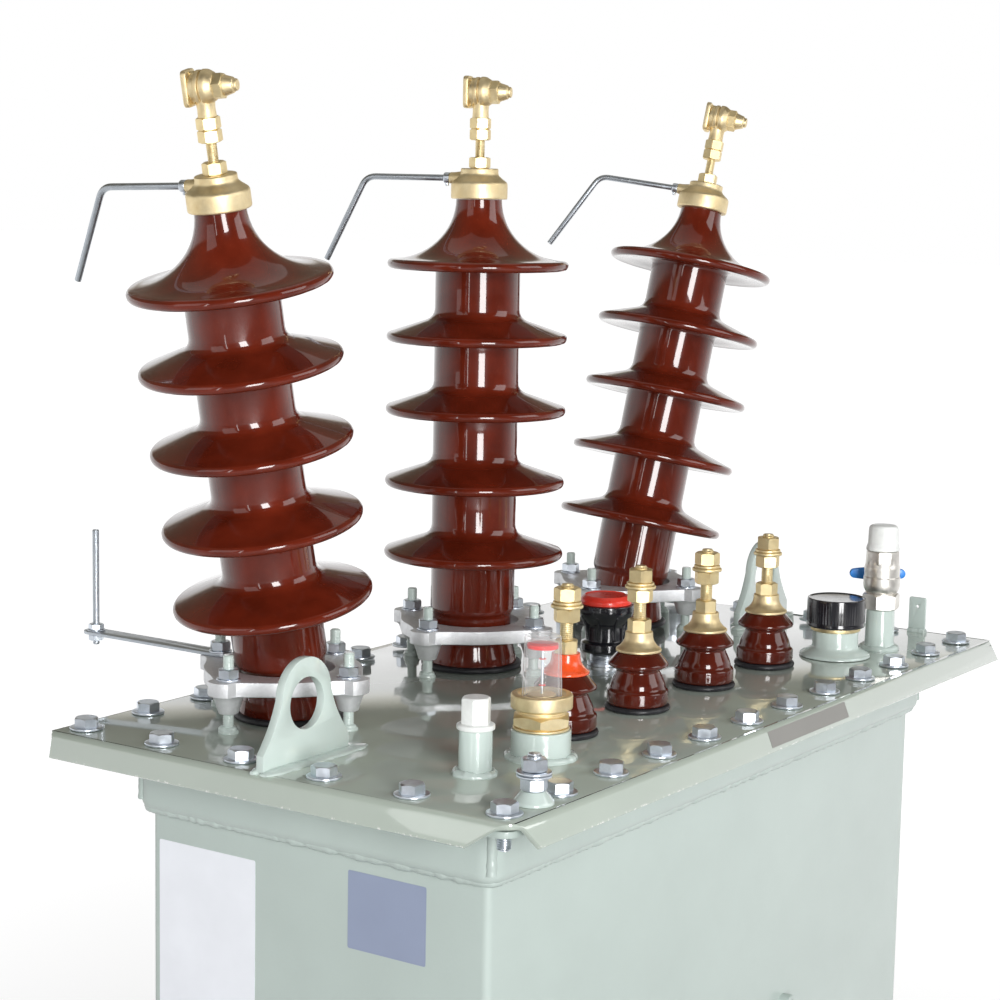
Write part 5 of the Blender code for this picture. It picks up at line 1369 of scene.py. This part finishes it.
def build_lv_terminal(number, place):
    lower = LV_CAP_HEIGHT
    bare = lower + LV_LOWER_NUT
    clamp = bare + LV_STUD_BARE
    stack = clamp + LV_CLAMP_NUT
    upper = stack + LV_WASHER + LV_SMALL_WASHER
    tip = upper + LV_CLAMP_NUT
    cap_finish = orange_paint if number == 1 else cast_brass
    cap = lathe("cap", [(0.0, 0.0), (0.0206, 0.0, 0.0006), (0.0208, 0.0022, 0.0012), (0.0172, 0.0044, 0.003),
        (0.0136, 0.0092, 0.005), (0.0126, 0.0130, 0.003), (0.0124, LV_CAP_HEIGHT, 0.001),
        (0.0, LV_CAP_HEIGHT)], cap_finish, None, 56, 40.0)
    turn = 0.5 * number
    nuts = hexagon_set("nuts", [((0, 0, clamp), UP, turn + 0.3), ((0, 0, upper), UP, turn + 0.6)],
        turned_brass, across_flats=LV_FLATS, height=LV_CLAMP_NUT, bore=0.004, lower_chamfer=1.0)
    low_nut = hexagon_set("low_nut", [((0, 0, lower), UP, turn)], turned_brass,
        across_flats=LV_FLATS - 0.0018, height=LV_LOWER_NUT, bore=0.004, lower_chamfer=0.0)
    ring = washer_set("ring", [((0, 0, stack), UP, 0.0)], turned_brass, outer_radius=0.0140,
        inner_radius=0.006, thickness=LV_WASHER)
    small_ring = washer_set("small_ring", [((0, 0, stack + LV_WASHER), UP, 0.0)], turned_brass,
        outer_radius=0.0124, inner_radius=0.006, thickness=LV_SMALL_WASHER)
    stud = thread_set("stud", [((0, 0, lower), UP, 0.0)], turned_brass, radius=LV_STUD_RADIUS,
        pitch=BOLT_PITCH, length=tip + LV_STUD_TIP - lower, depth=0.0006)
    terminal = joined(f"low_terminal_{number}", [cap, nuts, low_nut, ring, small_ring, stud])
    terminal.data.transform(place)
    dress(terminal, TANK, "brass", f"lv_terminal_{number}")


# Cover fittings

def node_middle(name):
    low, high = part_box(name)
    return (low.x + high.x) / 2, (low.y + high.y) / 2


def build_filler():
    x, y = node_middle("filler_stub")
    place = at(x, y, ON_COVER)
    stub = lathe("filler_pipe", [(0.0, 0.0), (0.0137, 0.0), (0.0137, FILLER_PIPE, 0.001), (0.0, FILLER_PIPE)],
        fitting_enamel_painted_lighter, place, 48)
    dress(stub, TANK, "paint", "filler_stub")
    low = FILLER_PIPE + GAP
    flange = lathe("flange", [(0.0, low), (0.0157, low, 0.0008), (0.0157, low + 0.004, 0.0012),
        (0.0125, low + 0.0046), (0.0, low + 0.0046)], white_plastic, place, 48)
    head = hexagon_set("head", [((x, y, ON_COVER + low + 0.004), UP, 0.4)], white_plastic,
        across_flats=0.0216, height=FILLER_PLUG - 0.004, bore=0.0, lower_chamfer=0.0)
    bevelled(head, 0.0012, 3, 40.0)
    plug = joined("filler_cap", [flange, head])
    dress(plug, TANK, "white_plastic", "filler_plug")
    return x, y


def build_gauge():
    """Sight gauge: welded socket, two brass nuts, clear dome tube, float rod and red mark."""
    x, y = node_middle("gauge_socket")
    place = at(x, y, ON_COVER)
    socket = lathe("gauge_pipe", [(0.0, 0.0), (0.0252, 0.0), (0.0252, GAUGE_PIPE, 0.0015), (0.0, GAUGE_PIPE)],
        fitting_enamel_painted_lighter, place, 64)
    dress(socket, TANK, "paint", "gauge_socket")
    low = GAUGE_PIPE + GAP
    groove, ring, top = low + GAUGE_GROOVE, low + GAUGE_RING, low + GAUGE_NUTS
    hexagon = hexagon_set("hexagon", [((x, y, ON_COVER + low + 0.0022), UP, 0.55)], cast_brass,
        across_flats=0.0452, height=0.0108, bore=0.018, lower_chamfer=1.0)
    core = lathe("core", [(0.0172, low), (0.0236, low, 0.0006), (0.0236, low + 0.0020, 0.0008),
        (0.0214, low + 0.0024), (0.0214, groove, 0.0006), (0.0206, groove + 0.0008, 0.0006),
        (0.0212, groove + 0.0018, 0.0005), (0.0206, groove + 0.0028, 0.0005), (0.0238, ring, 0.0006),
        (0.0258, ring + 0.0010, 0.0008), (0.0258, top, 0.0022), (0.0200, top, 0.001), (0.0182, top - 0.002),
        (0.0172, top - 0.004)], cast_brass, place, 80)
    dress(joined("gauge_nuts", [hexagon, core]), TANK, "brass", "gauge_nut")
    base = top - 0.004 + GAP
    high = base + GAUGE_TUBE
    tube = lathe("gauge_tube", [(0.0, high - 0.0042), (0.0136, high - 0.0050, 0.0015), (0.0146, base),
        (0.0168, base), (0.0153, high - 0.003, 0.0), (0.0152, high, 0.0022), (0.0060, high, 0.0012),
        (0.0052, high - 0.0018, 0.001), (0.0, high - 0.0018)], clear_plastic, place, 72)
    dress(tube, TANK, "clear_plastic", "gauge_glass")
    rod = lathe("rod", [(0.0, base - 0.002), (0.0011, base - 0.002), (0.0011, high - 0.010, 0.0005),
        (0.0, high - 0.010)], zinc, place, 16)
    disc = lathe("disc", [(0.0, base + 0.001), (0.0120, base + 0.001, 0.0008), (0.0120, base + 0.003, 0.0008),
        (0.0, base + 0.003)], turned_brass, place, 40)
    band = lathe("band", [(0.0, high - 0.0105), (0.0133, high - 0.0105, 0.0006),
        (0.0132, high - 0.0070, 0.0006), (0.0, high - 0.0070)], float_red, place, 56)
    marks = [lathe("mark", [(0.0, z), (0.0030, z), (0.0030, z + 0.0006), (0.0, z + 0.0006)], red_plastic,
        place, 20) for z in (base + 0.010, base + 0.032)]
    dress(joined("gauge_float", [rod, disc, band, *marks]), TANK, "red_plastic")
    return x, y


def build_relief():
    """Pressure relief: threaded adapter, ribbed black body and a red dome disc."""
    x, y = node_middle("relief_adapter")
    place = at(x, y, ON_COVER)
    adapter = thread_set("adapter", [((x, y, ON_COVER), UP, 0.0)], zinc, radius=0.015, pitch=0.0018,
        length=RELIEF_THREAD, depth=0.0009)
    foot = lathe("foot", [(0.0, 0.0), (0.0172, 0.0), (0.0172, 0.003, 0.0008), (0.0, 0.0036)], zinc, place, 48)
    dress(joined("relief_thread", [adapter, foot]), TANK, "zinc_plate", "relief_adapter")
    low = RELIEF_THREAD + GAP
    body = lathe("body", [(0.0, low), (0.0228, low, 0.0008), (0.0240, low + 0.0020, 0.0008),
        (0.0240, low + 0.0095, 0.0012), (0.0196, low + 0.0115, 0.0012), (0.0196, 0.0400, 0.002),
        (0.0224, 0.0432, 0.002), (0.0266, 0.0500, 0.004), (0.0282, 0.0545, 0.002),
        (0.0282, RELIEF_TOP, 0.001), (0.0, RELIEF_TOP)], black_plastic, place, 72)
    ribs = []
    for i in range(RELIEF_RIBS):
        turn = Matrix.Rotation(math.tau * (i + 0.3) / RELIEF_RIBS, 4, "Z")
        shape = fillet([(0.016, low + 0.013, 0.0), (0.0206, low + 0.013, 0.001), (0.0216, 0.038, 0.004),
            (0.0278, 0.051, 0.002), (0.016, 0.051, 0.0)], True)
        upright = Matrix(((1, 0, 0, 0), (0, 0, -1, 0.0012), (0, 1, 0, 0), (0, 0, 0, 1)))
        ribs.append(plate("rib", shape, 0.0024, black_plastic, place @ turn @ upright, 0.0005))
    dress(joined("relief_case", [body, *ribs]), TANK, "black_plastic", "relief_body")
    top = RELIEF_TOP + GAP
    disc = lathe("relief_button", [(0.0, top), (0.0255, top, 0.0006), (0.0255, top + 0.0045, 0.002),
        (0.0225, top + 0.0075, 0.002), (0.0205, top + 0.0088, 0.001), (0.0195, top + 0.0078, 0.001),
        (0.0, top + 0.0084)], red_plastic, place, 64)
    dress(disc, TANK, "red_plastic", "relief_disc")


def build_pocket():
    """Thermometer pocket: flanged socket, brass ring and a black cap with a sunk top."""
    x, y = node_middle("pocket_socket")
    place = at(x, y, ON_COVER)
    socket = lathe("pocket_pipe", [(0.0, 0.0), (0.0358, 0.0, 0.0006), (0.0352, 0.0026, 0.0025),
        (0.0300, 0.0056, 0.004), (0.0230, 0.0086, 0.003), (0.0230, POCKET_PIPE, 0.0008), (0.0, POCKET_PIPE)],
        fitting_enamel_painted_lighter, place, 72)
    dress(socket, TANK, "paint", "pocket_socket")
    low = POCKET_PIPE + GAP
    ring = lathe("pocket_thread", [(0.0, low), (0.0250, low, 0.0006), (0.0250, low + POCKET_RING, 0.0008),
        (0.0, low + POCKET_RING)], turned_brass, place, 72)
    dress(ring, TANK, "brass", "pocket_ring")
    low += POCKET_RING + GAP
    high = low + POCKET_CAP
    cap = lathe("cap", [(0.0, low), (0.0290, low, 0.0008), (0.0297, low + 0.0015, 0.0008),
        (0.0291, low + 0.004, 0.001), (0.0294, high, 0.0018), (0.0272, high, 0.0008),
        (0.0266, high - 0.0010, 0.0008), (0.0, high - 0.0012)], black_plastic, place, 96)
    ribs = []
    for i in range(POCKET_RIBS):
        turn = Matrix.Rotation(math.tau * i / POCKET_RIBS, 4, "Z")
        ribs.append(lathe("rib", [(0.0, low + 0.0045), (0.0006, low + 0.0050, 0.0),
            (0.0006, high - 0.0030, 0.0), (0.0, high - 0.0022)], black_plastic,
            place @ turn @ at(0.0288, 0, 0), 6))
    dress(joined("pocket_lid", [cap, *ribs]), TANK, "black_plastic", "pocket_cap")
    return x, y


def build_valve():
    """Ball valve on its pipe: hexagon end, bulged body, octagon end, stem and blanking cap."""
    x, y = node_middle("valve_stub")
    place = at(x, y, ON_COVER)
    stub = lathe("valve_pipe", [(0.0, 0.0), (0.0175, 0.0, 0.001), (0.0150, 0.006, 0.003),
        (0.0145, VALVE_PIPE, 0.001), (0.0, VALVE_PIPE)], fitting_enamel_painted_lighter, place, 56)
    dress(stub, TANK, "paint", "valve_stub")
    hex_low = VALVE_PIPE + GAP
    ball_low = hex_low + VALVE_HEXAGON
    top_low = ball_low + VALVE_BALL
    cap_low = top_low + VALVE_OCTAGON
    hexagon = hexagon_set("hexagon", [((x, y, ON_COVER + hex_low + GAP), UP, 0.2)], nickel,
        across_flats=0.0343, height=0.0165, bore=0.0, lower_chamfer=1.0)
    body = lathe("body", [(0.0, ball_low - 0.004), (0.0150, ball_low - 0.004), (0.0155, ball_low, 0.001),
        (0.0180, ball_low + 0.004, 0.003), (VALVE_BALL_RADIUS, ball_low + 0.008, 0.003),
        (VALVE_BALL_RADIUS, ball_low + 0.0165, 0.001), (0.0181, ball_low + 0.0172, 0.0006),
        (0.0184, ball_low + 0.026, 0.003), (0.0172, top_low, 0.002), (0.0150, cap_low, 0.001),
        (0.0, cap_low)], nickel, place, 72)
    bm = bmesh.new()
    bmesh.ops.create_cone(bm, cap_ends=True, segments=8, radius1=0.0178, radius2=0.0172, depth=0.0138)
    octagon = finish("octagon", bm, nickel, place @ at(0, 0, top_low + 0.0069) @ Matrix.Rotation(0.2, 4, "Z"))
    bevelled(octagon, 0.0010, 2, 30.0)
    stem_place = at(x, y, ON_COVER + ball_low + VALVE_BALL / 2) @ Matrix.Rotation(VALVE_TURN, 4, "Z")
    stem_place = stem_place @ Matrix.Rotation(math.pi / 2, 4, "Y")
    gland = lathe("gland", [(0.0, 0.010), (0.0075, 0.010), (0.0075, 0.0205, 0.001), (0.004, 0.0212),
        (0.004, 0.033, 0.0008), (0.0, 0.033)], nickel, stem_place, 36)
    dress(joined("valve_case", [hexagon, body, octagon, gland]), TANK, "nickel_plate", "valve_body")
    low = cap_low + GAP
    high = low + VALVE_CAP
    cap = lathe("valve_lid", [(0.0, low), (0.0173, low, 0.0012), (0.0168, low + 0.004, 0.002),
        (0.0156, low + 0.0065, 0.003), (0.0150, high, 0.0045), (0.0, high)], white_plastic, place, 64)
    dress(cap, TANK, "white_plastic", "valve_cap")
    build_handle(stem_place)
    return x, y


def build_handle(stem_place):
    """Butterfly handle with a plain round hub, on a body of its own; the real handle turns with the stem."""
    hub_low = VALVE_BALL_RADIUS + HANDLE_STANDS_OFF
    half = HANDLE_SPAN / 2 - HANDLE_TIP
    waist = HANDLE_WAIST
    outline = arc((0, half), HANDLE_TIP, 0, math.pi, 10) + [(-waist, 0.006), (-waist, -0.006)]
    outline += arc((0, -half), HANDLE_TIP, math.pi, math.tau, 10) + [(waist, -0.006), (waist, 0.006)]
    bore = arc((0, 0), HANDLE_BORE, 0, math.tau * 23 / 24, 23)
    wings = plate("wings", outline, HANDLE_THICKNESS, blue_plastic, at(0, 0, hub_low), 0.0012, (bore,))
    hub = lathe("hub", [(HANDLE_BORE, hub_low - GAP), (0.0088, hub_low - GAP, 0.0008),
        (0.0088, hub_low + 0.0068, 0.0012), (HANDLE_BORE, hub_low + 0.0068)], blue_plastic, None, 40)
    lever = joined("butterfly_lever", [wings, hub])
    lever.data.transform(stem_place)
    dress(lever, HANDLE, "blue_plastic", "valve_handle")


def lug_outline():
    half = LUG_FOOT_WIDTH / 2
    steps = 14
    flank = []
    for i in range(1, steps):
        t = i / steps
        flank.append((half + (LUG_HEAD_RADIUS - half) * t - LUG_HOLLOW * math.sin(math.pi * t),
            LUG_FOOT_HEIGHT + (LUG_HEAD_HEIGHT - LUG_FOOT_HEIGHT) * t))
    head = arc((0, LUG_HEAD_HEIGHT), LUG_HEAD_RADIUS, 0, math.pi, 32)
    left = [(-x, z) for x, z in reversed(flank)]
    foot = [(-half, LUG_FOOT_HEIGHT), (-half, 0.0), (half, 0.0), (half, LUG_FOOT_HEIGHT)]
    return foot + flank + head + left


def build_lug(name, side):
    centre = side * (COVER_LENGTH / 2 - LUG_INSET)
    upright = at(centre, LUG_THICKNESS, ON_COVER) @ Matrix.Rotation(math.pi / 2, 4, "X")
    eye = arc((0, LUG_EYE_HEIGHT), LUG_EYE_RADIUS, 0, math.tau * 47 / 48, 47)
    lug = plate(f"{name}_plate", lug_outline(), LUG_THICKNESS, fitting_enamel_painted_lighter, upright, 0.0009, (eye,))
    dress(lug, TANK, "paint", name)
    return centre


def build_tab():
    """A flat tab across the cover's end, with softened top corners and a small hole."""
    low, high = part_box("earth_tab")
    width, height = high.y - low.y, high.z - low.z
    half = width / 2
    outline = fillet([(-half, 0.0, 0.0), (half, 0.0, 0.0), (half, height, 0.002), (-half, height, 0.002)],
        True)
    hole = arc((0, height - 0.010), 0.0016, 0, math.tau * 15 / 16, 15)
    across = Matrix(((0, 0, 1, low.x), (1, 0, 0, (low.y + high.y) / 2), (0, 1, 0, low.z), (0, 0, 0, 1)))
    tab = plate("upright_tab", outline, high.x - low.x, fitting_enamel_painted_lighter, across, 0.0005, (hole,))
    dress(tab, TANK, "paint", "earth_tab")
    return (low.x + high.x) / 2, (low.y + high.y) / 2, width


def build_earth_stud():
    x, y = node_middle("earth_stud")
    place = at(x, y, ON_COVER)
    boss = lathe("earth_boss", [(0.0, 0.0), (0.0165, 0.0, 0.001), (0.0160, 0.0025, 0.002),
        (0.0108, 0.0090, 0.003), (0.0095, 0.0105, 0.001), (0.0, 0.0105)], fitting_enamel_painted_lighter, place, 48)
    rod = thread_set("rod", [((x, y, ON_COVER + 0.008), UP, 0.0)], zinc, radius=BOLT_RADIUS, pitch=BOLT_PITCH,
        length=0.0315, depth=0.0007)
    nuts = hexagon_set("nuts", [((x, y, ON_COVER + 0.0108), UP, 0.3), ((x, y, ON_COVER + 0.0260), UP, 0.75)],
        zinc, across_flats=BOLT_FLATS, height=0.0100, bore=0.0045, lower_chamfer=1.0)
    rings = washer_set("rings", [((x, y, ON_COVER + 0.0210), UP, 0.0), ((x, y, ON_COVER + 0.0236), UP, 0.0)],
        zinc, outer_radius=0.0140, inner_radius=WASHER_BORE, thickness=WASHER_THICKNESS)
    dress(joined("earth_terminal", [boss, rod, nuts, rings]), TANK, "paint", "earth_stud")
    return x, y


def flattened(obj, height):
    """Press a bead that lies on the cover to a share of its height."""
    obj.data.transform(at(0, 0, ON_COVER) @ Matrix.Diagonal((1.0, 1.0, height, 1.0)) @ at(0, 0, -ON_COVER))
    return obj


def tapered(obj, spans, reach):
    """Draw the ends of beads that run along X down to a thin edge."""
    for vertex in obj.data.vertices:
        for low, high, y in spans:
            if low - 0.02 < vertex.co.x < high + 0.02:
                inside = min(vertex.co.x - low, high - vertex.co.x) + 0.25 * reach
                share = min(1.0, max(0.12, inside / reach)) ** 0.6
                vertex.co.y = y + (vertex.co.y - y) * share
                vertex.co.z = ON_COVER + (vertex.co.z - ON_COVER) * share
    return obj


def spans_of(paths):
    """Each path's two ends along X and its place along Y."""
    return [(min(a[0], b[0]), max(a[0], b[0]), a[1]) for a, b in paths]


def build_cover_welds(stubs, lugs, tab):
    """Painted weld fillets where the fittings stand on the cover."""
    z = ON_COVER + 0.0004
    paths = [circle_path(x, y, z, radius) for x, y, radius in stubs]
    heavy = weld_set("stub_weld", paths, fitting_enamel_painted_lighter, bead=0.0040, ripple_pitch=0.0060, ripple_depth=0.03,
        wander=0.30, seed=5.0)
    dress(heavy, TANK, "paint")
    half_w = LUG_FOOT_WIDTH / 2
    before, behind = -0.0030, LUG_THICKNESS + 0.0012
    front, rear = [], []
    for centre in lugs:
        inward = -1 if centre > 0 else 1
        outer, inner = centre - inward * (half_w + 0.004), centre + inward * (half_w + 0.018)
        front.append([(outer, before, z), (inner, before, z)])
        rear.append([(outer, behind, z), (centre + inward * half_w, behind, z)])
    wide = weld_set("lug_weld", front, fitting_enamel_painted_lighter, bead=0.0088, ripple_pitch=0.0120, ripple_depth=0.01,
        wander=0.24, seed=6.0)
    dress(tapered(flattened(wide, 0.28), spans_of(front), 0.016), TANK, "paint")
    narrow = weld_set("lug_rear_weld", rear, fitting_enamel_painted_lighter, bead=0.0050, ripple_pitch=0.0100,
        ripple_depth=0.01, wander=0.20, seed=8.0)
    dress(tapered(flattened(narrow, 0.70), spans_of(rear), 0.010), TANK, "paint")
    x, y, width = tab
    short = [[(x + dx, y - width / 2, z), (x + dx, y + width / 2, z)] for dx in (-0.002, 0.002)]
    foot = weld_set("tab_weld", short, fitting_enamel_painted_lighter, bead=0.0026, ripple_pitch=0.0040, ripple_depth=0.04,
        wander=0.3, seed=7.0)
    dress(foot, TANK, "paint")


def build_stickers():
    """Blank labels: two on the short wall and a strip on the cover's long edge."""
    wall_x = -TANK_LENGTH / 2 - STICKER_LIFT
    stickers = (("blank_panel", 0.1146, -0.203, 0.108, 0.212, white_film),
        ("blank_label", -0.0778, -0.1187, 0.079, 0.066, lilac_film))
    for name, y, below, width, height, film_finish in stickers:
        turn = Matrix(((0, 0, -1, wall_x), (-1, 0, 0, y), (0, 1, 0, COVER_TOP + below), (0, 0, 0, 1)))
        outline = rounded_rectangle(width, height, 0.002)
        sticker = plate(name, outline, STICKER_THICKNESS, film_finish, turn, 0.0)
        dress(sticker, TANK, "white_plastic")
    slope = math.hypot(FLANGE_OUT, FLANGE_DROP)
    down = Vector((0, -FLANGE_OUT, -FLANGE_DROP)) / slope
    out = Vector((0, -FLANGE_DROP, FLANGE_OUT)) / slope
    middle = Vector((STRIP_X, -COVER_WIDTH / 2, COVER_TOP)) + down * STRIP_DOWN + out * STICKER_LIFT
    turn = Matrix((Vector((1, 0, 0)), -down, out)).transposed().to_4x4()
    turn.translation = middle
    outline = rounded_rectangle(STRIP_LENGTH, STRIP_WIDTH, 0.001)
    strip = plate("blank_strip", outline, STICKER_THICKNESS, silver_film, turn, 0.0)
    dress(strip, TANK, "white_plastic")


# Studio

def bright_share(tree, direction):
    """How much of the white surroundings shows in gloss: the far side is white, the near side dim."""
    away = Vector((math.sin(CAMERA_YAW - 0.26), math.cos(CAMERA_YAW - 0.26), 0.0))
    facing = node(tree, "ShaderNodeVectorMath", {0: direction, 1: tuple(away)},
        operation="DOT_PRODUCT").outputs["Value"]
    return node(tree, "ShaderNodeMapRange", {"Value": facing, "From Min": -0.5, "From Max": 0.25,
        "To Min": 0.08, "To Max": 1.0}).outputs["Result"]


def build_studio():
    bm = bmesh.new()
    bmesh.ops.create_grid(bm, x_segments=1, y_segments=1, size=30.0)
    material, tree, shader, coords = painted_tree("pale_floor")
    shade = ramp(tree, noise(tree, coords, 0.6), [(0.3, 0.47), (0.7, 0.49)])
    tree.links.new(shade, shader.inputs["Base Color"])
    shader.inputs["Roughness"].default_value = 0.9
    path = node(tree, "ShaderNodeLightPath")
    outward = node(tree, "ShaderNodeVectorMath", {0: coords}, operation="NORMALIZE").outputs["Vector"]
    mirrored = maths(tree, "MULTIPLY", path.outputs["Is Glossy Ray"], bright_share(tree, outward))
    seen = maths(tree, "MAXIMUM", path.outputs["Is Camera Ray"], path.outputs["Is Transmission Ray"])
    seen = maths(tree, "MAXIMUM", seen, mirrored)
    reach = node(tree, "ShaderNodeVectorMath", {0: coords}, operation="LENGTH").outputs["Value"]
    lift = node(tree, "ShaderNodeMapRange", {"Value": reach, "From Min": 0.7, "From Max": 2.6, "To Min": 0.66,
        "To Max": 0.96}).outputs["Result"]
    glow = node(tree, "ShaderNodeEmission",
        {"Color": (1, 1, 1, 1), "Strength": maths(tree, "MULTIPLY", seen, lift)})
    both = node(tree, "ShaderNodeAddShader", {0: shader.outputs[0], 1: glow.outputs[0]})
    tree.links.new(both.outputs[0], tree.nodes["Material Output"].inputs["Surface"])
    floor = finish("floor", bm, material)
    build_world()
    for lamp in LAMPS:
        area(*lamp)


def build_world():
    """Even soft light; the camera sees white, and gloss sees white low down on the far side."""
    world = bpy.data.worlds.new("studio")
    bpy.context.scene.world = world
    world.use_nodes = True
    tree = world.node_tree
    background = tree.nodes["Background"]
    direction = node(tree, "ShaderNodeTexCoord").outputs["Generated"]
    height = node(tree, "ShaderNodeSeparateXYZ", {0: direction}).outputs[2]
    dusk = node(tree, "ShaderNodeMapRange", {"Value": height, "From Min": 0.24, "From Max": 0.31,
        "To Min": 1.0, "To Max": 0.15}).outputs["Result"]
    spread = maths(tree, "MULTIPLY", bright_share(tree, direction), dusk)
    even = node(tree, "ShaderNodeMapRange", {"Value": height, "From Min": 0.0, "From Max": 1.0,
        "To Min": 0.34, "To Max": 0.16}).outputs["Result"]
    path = node(tree, "ShaderNodeLightPath")
    mirrored = maths(tree, "MAXIMUM", path.outputs["Is Glossy Ray"], path.outputs["Is Transmission Ray"])
    plain = maths(tree, "SUBTRACT", 1.0, maths(tree, "MAXIMUM", mirrored, path.outputs["Is Camera Ray"]))
    strength = maths(tree, "ADD", maths(tree, "MULTIPLY", mirrored, spread), path.outputs["Is Camera Ray"])
    strength = maths(tree, "MULTIPLY_ADD", plain, even, strength)
    tree.links.new(maths(tree, "MINIMUM", strength, 1.0), background.inputs["Strength"])
    above = node(tree, "ShaderNodeMapRange", {"Value": height, "From Min": 0.22, "From Max": 0.34})
    warm = maths(tree, "MULTIPLY", path.outputs["Is Glossy Ray"], above.outputs["Result"])
    tree.links.new(blend_colour(tree, warm, (1.0, 1.0, 1.0), (1.0, 0.90, 0.66)), background.inputs["Color"])


def area(name, place, target, width, height, power):
    lamp = bpy.data.lights.new(name, "AREA")
    lamp.shape = "RECTANGLE"
    lamp.size = width
    lamp.size_y = height
    lamp.energy = power
    obj = bpy.data.objects.new(name, lamp)
    obj.location = place
    obj.rotation_euler = (Vector(target) - Vector(place)).to_track_quat("-Z", "Y").to_euler()
    bpy.context.scene.collection.objects.link(obj)


def build_camera():
    forward = Vector((math.sin(CAMERA_YAW) * math.cos(CAMERA_PITCH),
        math.cos(CAMERA_YAW) * math.cos(CAMERA_PITCH), -math.sin(CAMERA_PITCH)))
    right = Vector((math.cos(CAMERA_YAW), -math.sin(CAMERA_YAW), 0.0))
    up = right.cross(forward)
    rolled_right = right * math.cos(CAMERA_ROLL) + up * math.sin(CAMERA_ROLL)
    rolled_up = up * math.cos(CAMERA_ROLL) - right * math.sin(CAMERA_ROLL)
    camera = bpy.data.cameras.new("camera")
    camera.lens = CAMERA_LENS
    camera.sensor_width = 36.0
    obj = bpy.data.objects.new("camera", camera)
    turn = Matrix((rolled_right, rolled_up, -forward)).transposed().to_4x4()
    obj.matrix_world = Matrix.Translation(CAMERA_PLACE) @ turn
    bpy.context.scene.collection.objects.link(obj)
    bpy.context.scene.camera = obj


def main():
    build_tank()
    build_foot("foot_angle_left", -1)
    build_foot("foot_angle_right", 1)
    build_rim()
    build_tank_welds()
    build_cover()
    build_cover_bolts()
    for side, x in BUSHINGS:
        build_porcelain(side, x)
        build_ring(side, x)
        build_hv_terminal(side, x)
        build_upper_horn(side, x)
    build_lower_horn()
    build_clamp_studs()
    for i in range(LV_COUNT):
        build_low_voltage(i + 1, (i - (LV_COUNT - 1) / 2) * LV_PITCH)
    filler = build_filler()
    gauge = build_gauge()
    build_relief()
    build_pocket()
    valve = build_valve()
    lugs = [build_lug("lifting_lug_left", -1), build_lug("lifting_lug_right", 1)]
    tab = build_tab()
    build_earth_stud()
    build_cover_welds([(*filler, 0.0150), (*gauge, 0.0268), (*valve, 0.0172)], lugs, tab)
    build_stickers()
    build_studio()
    build_camera()
    bpy.context.scene.view_settings.view_transform = "Standard"


main()
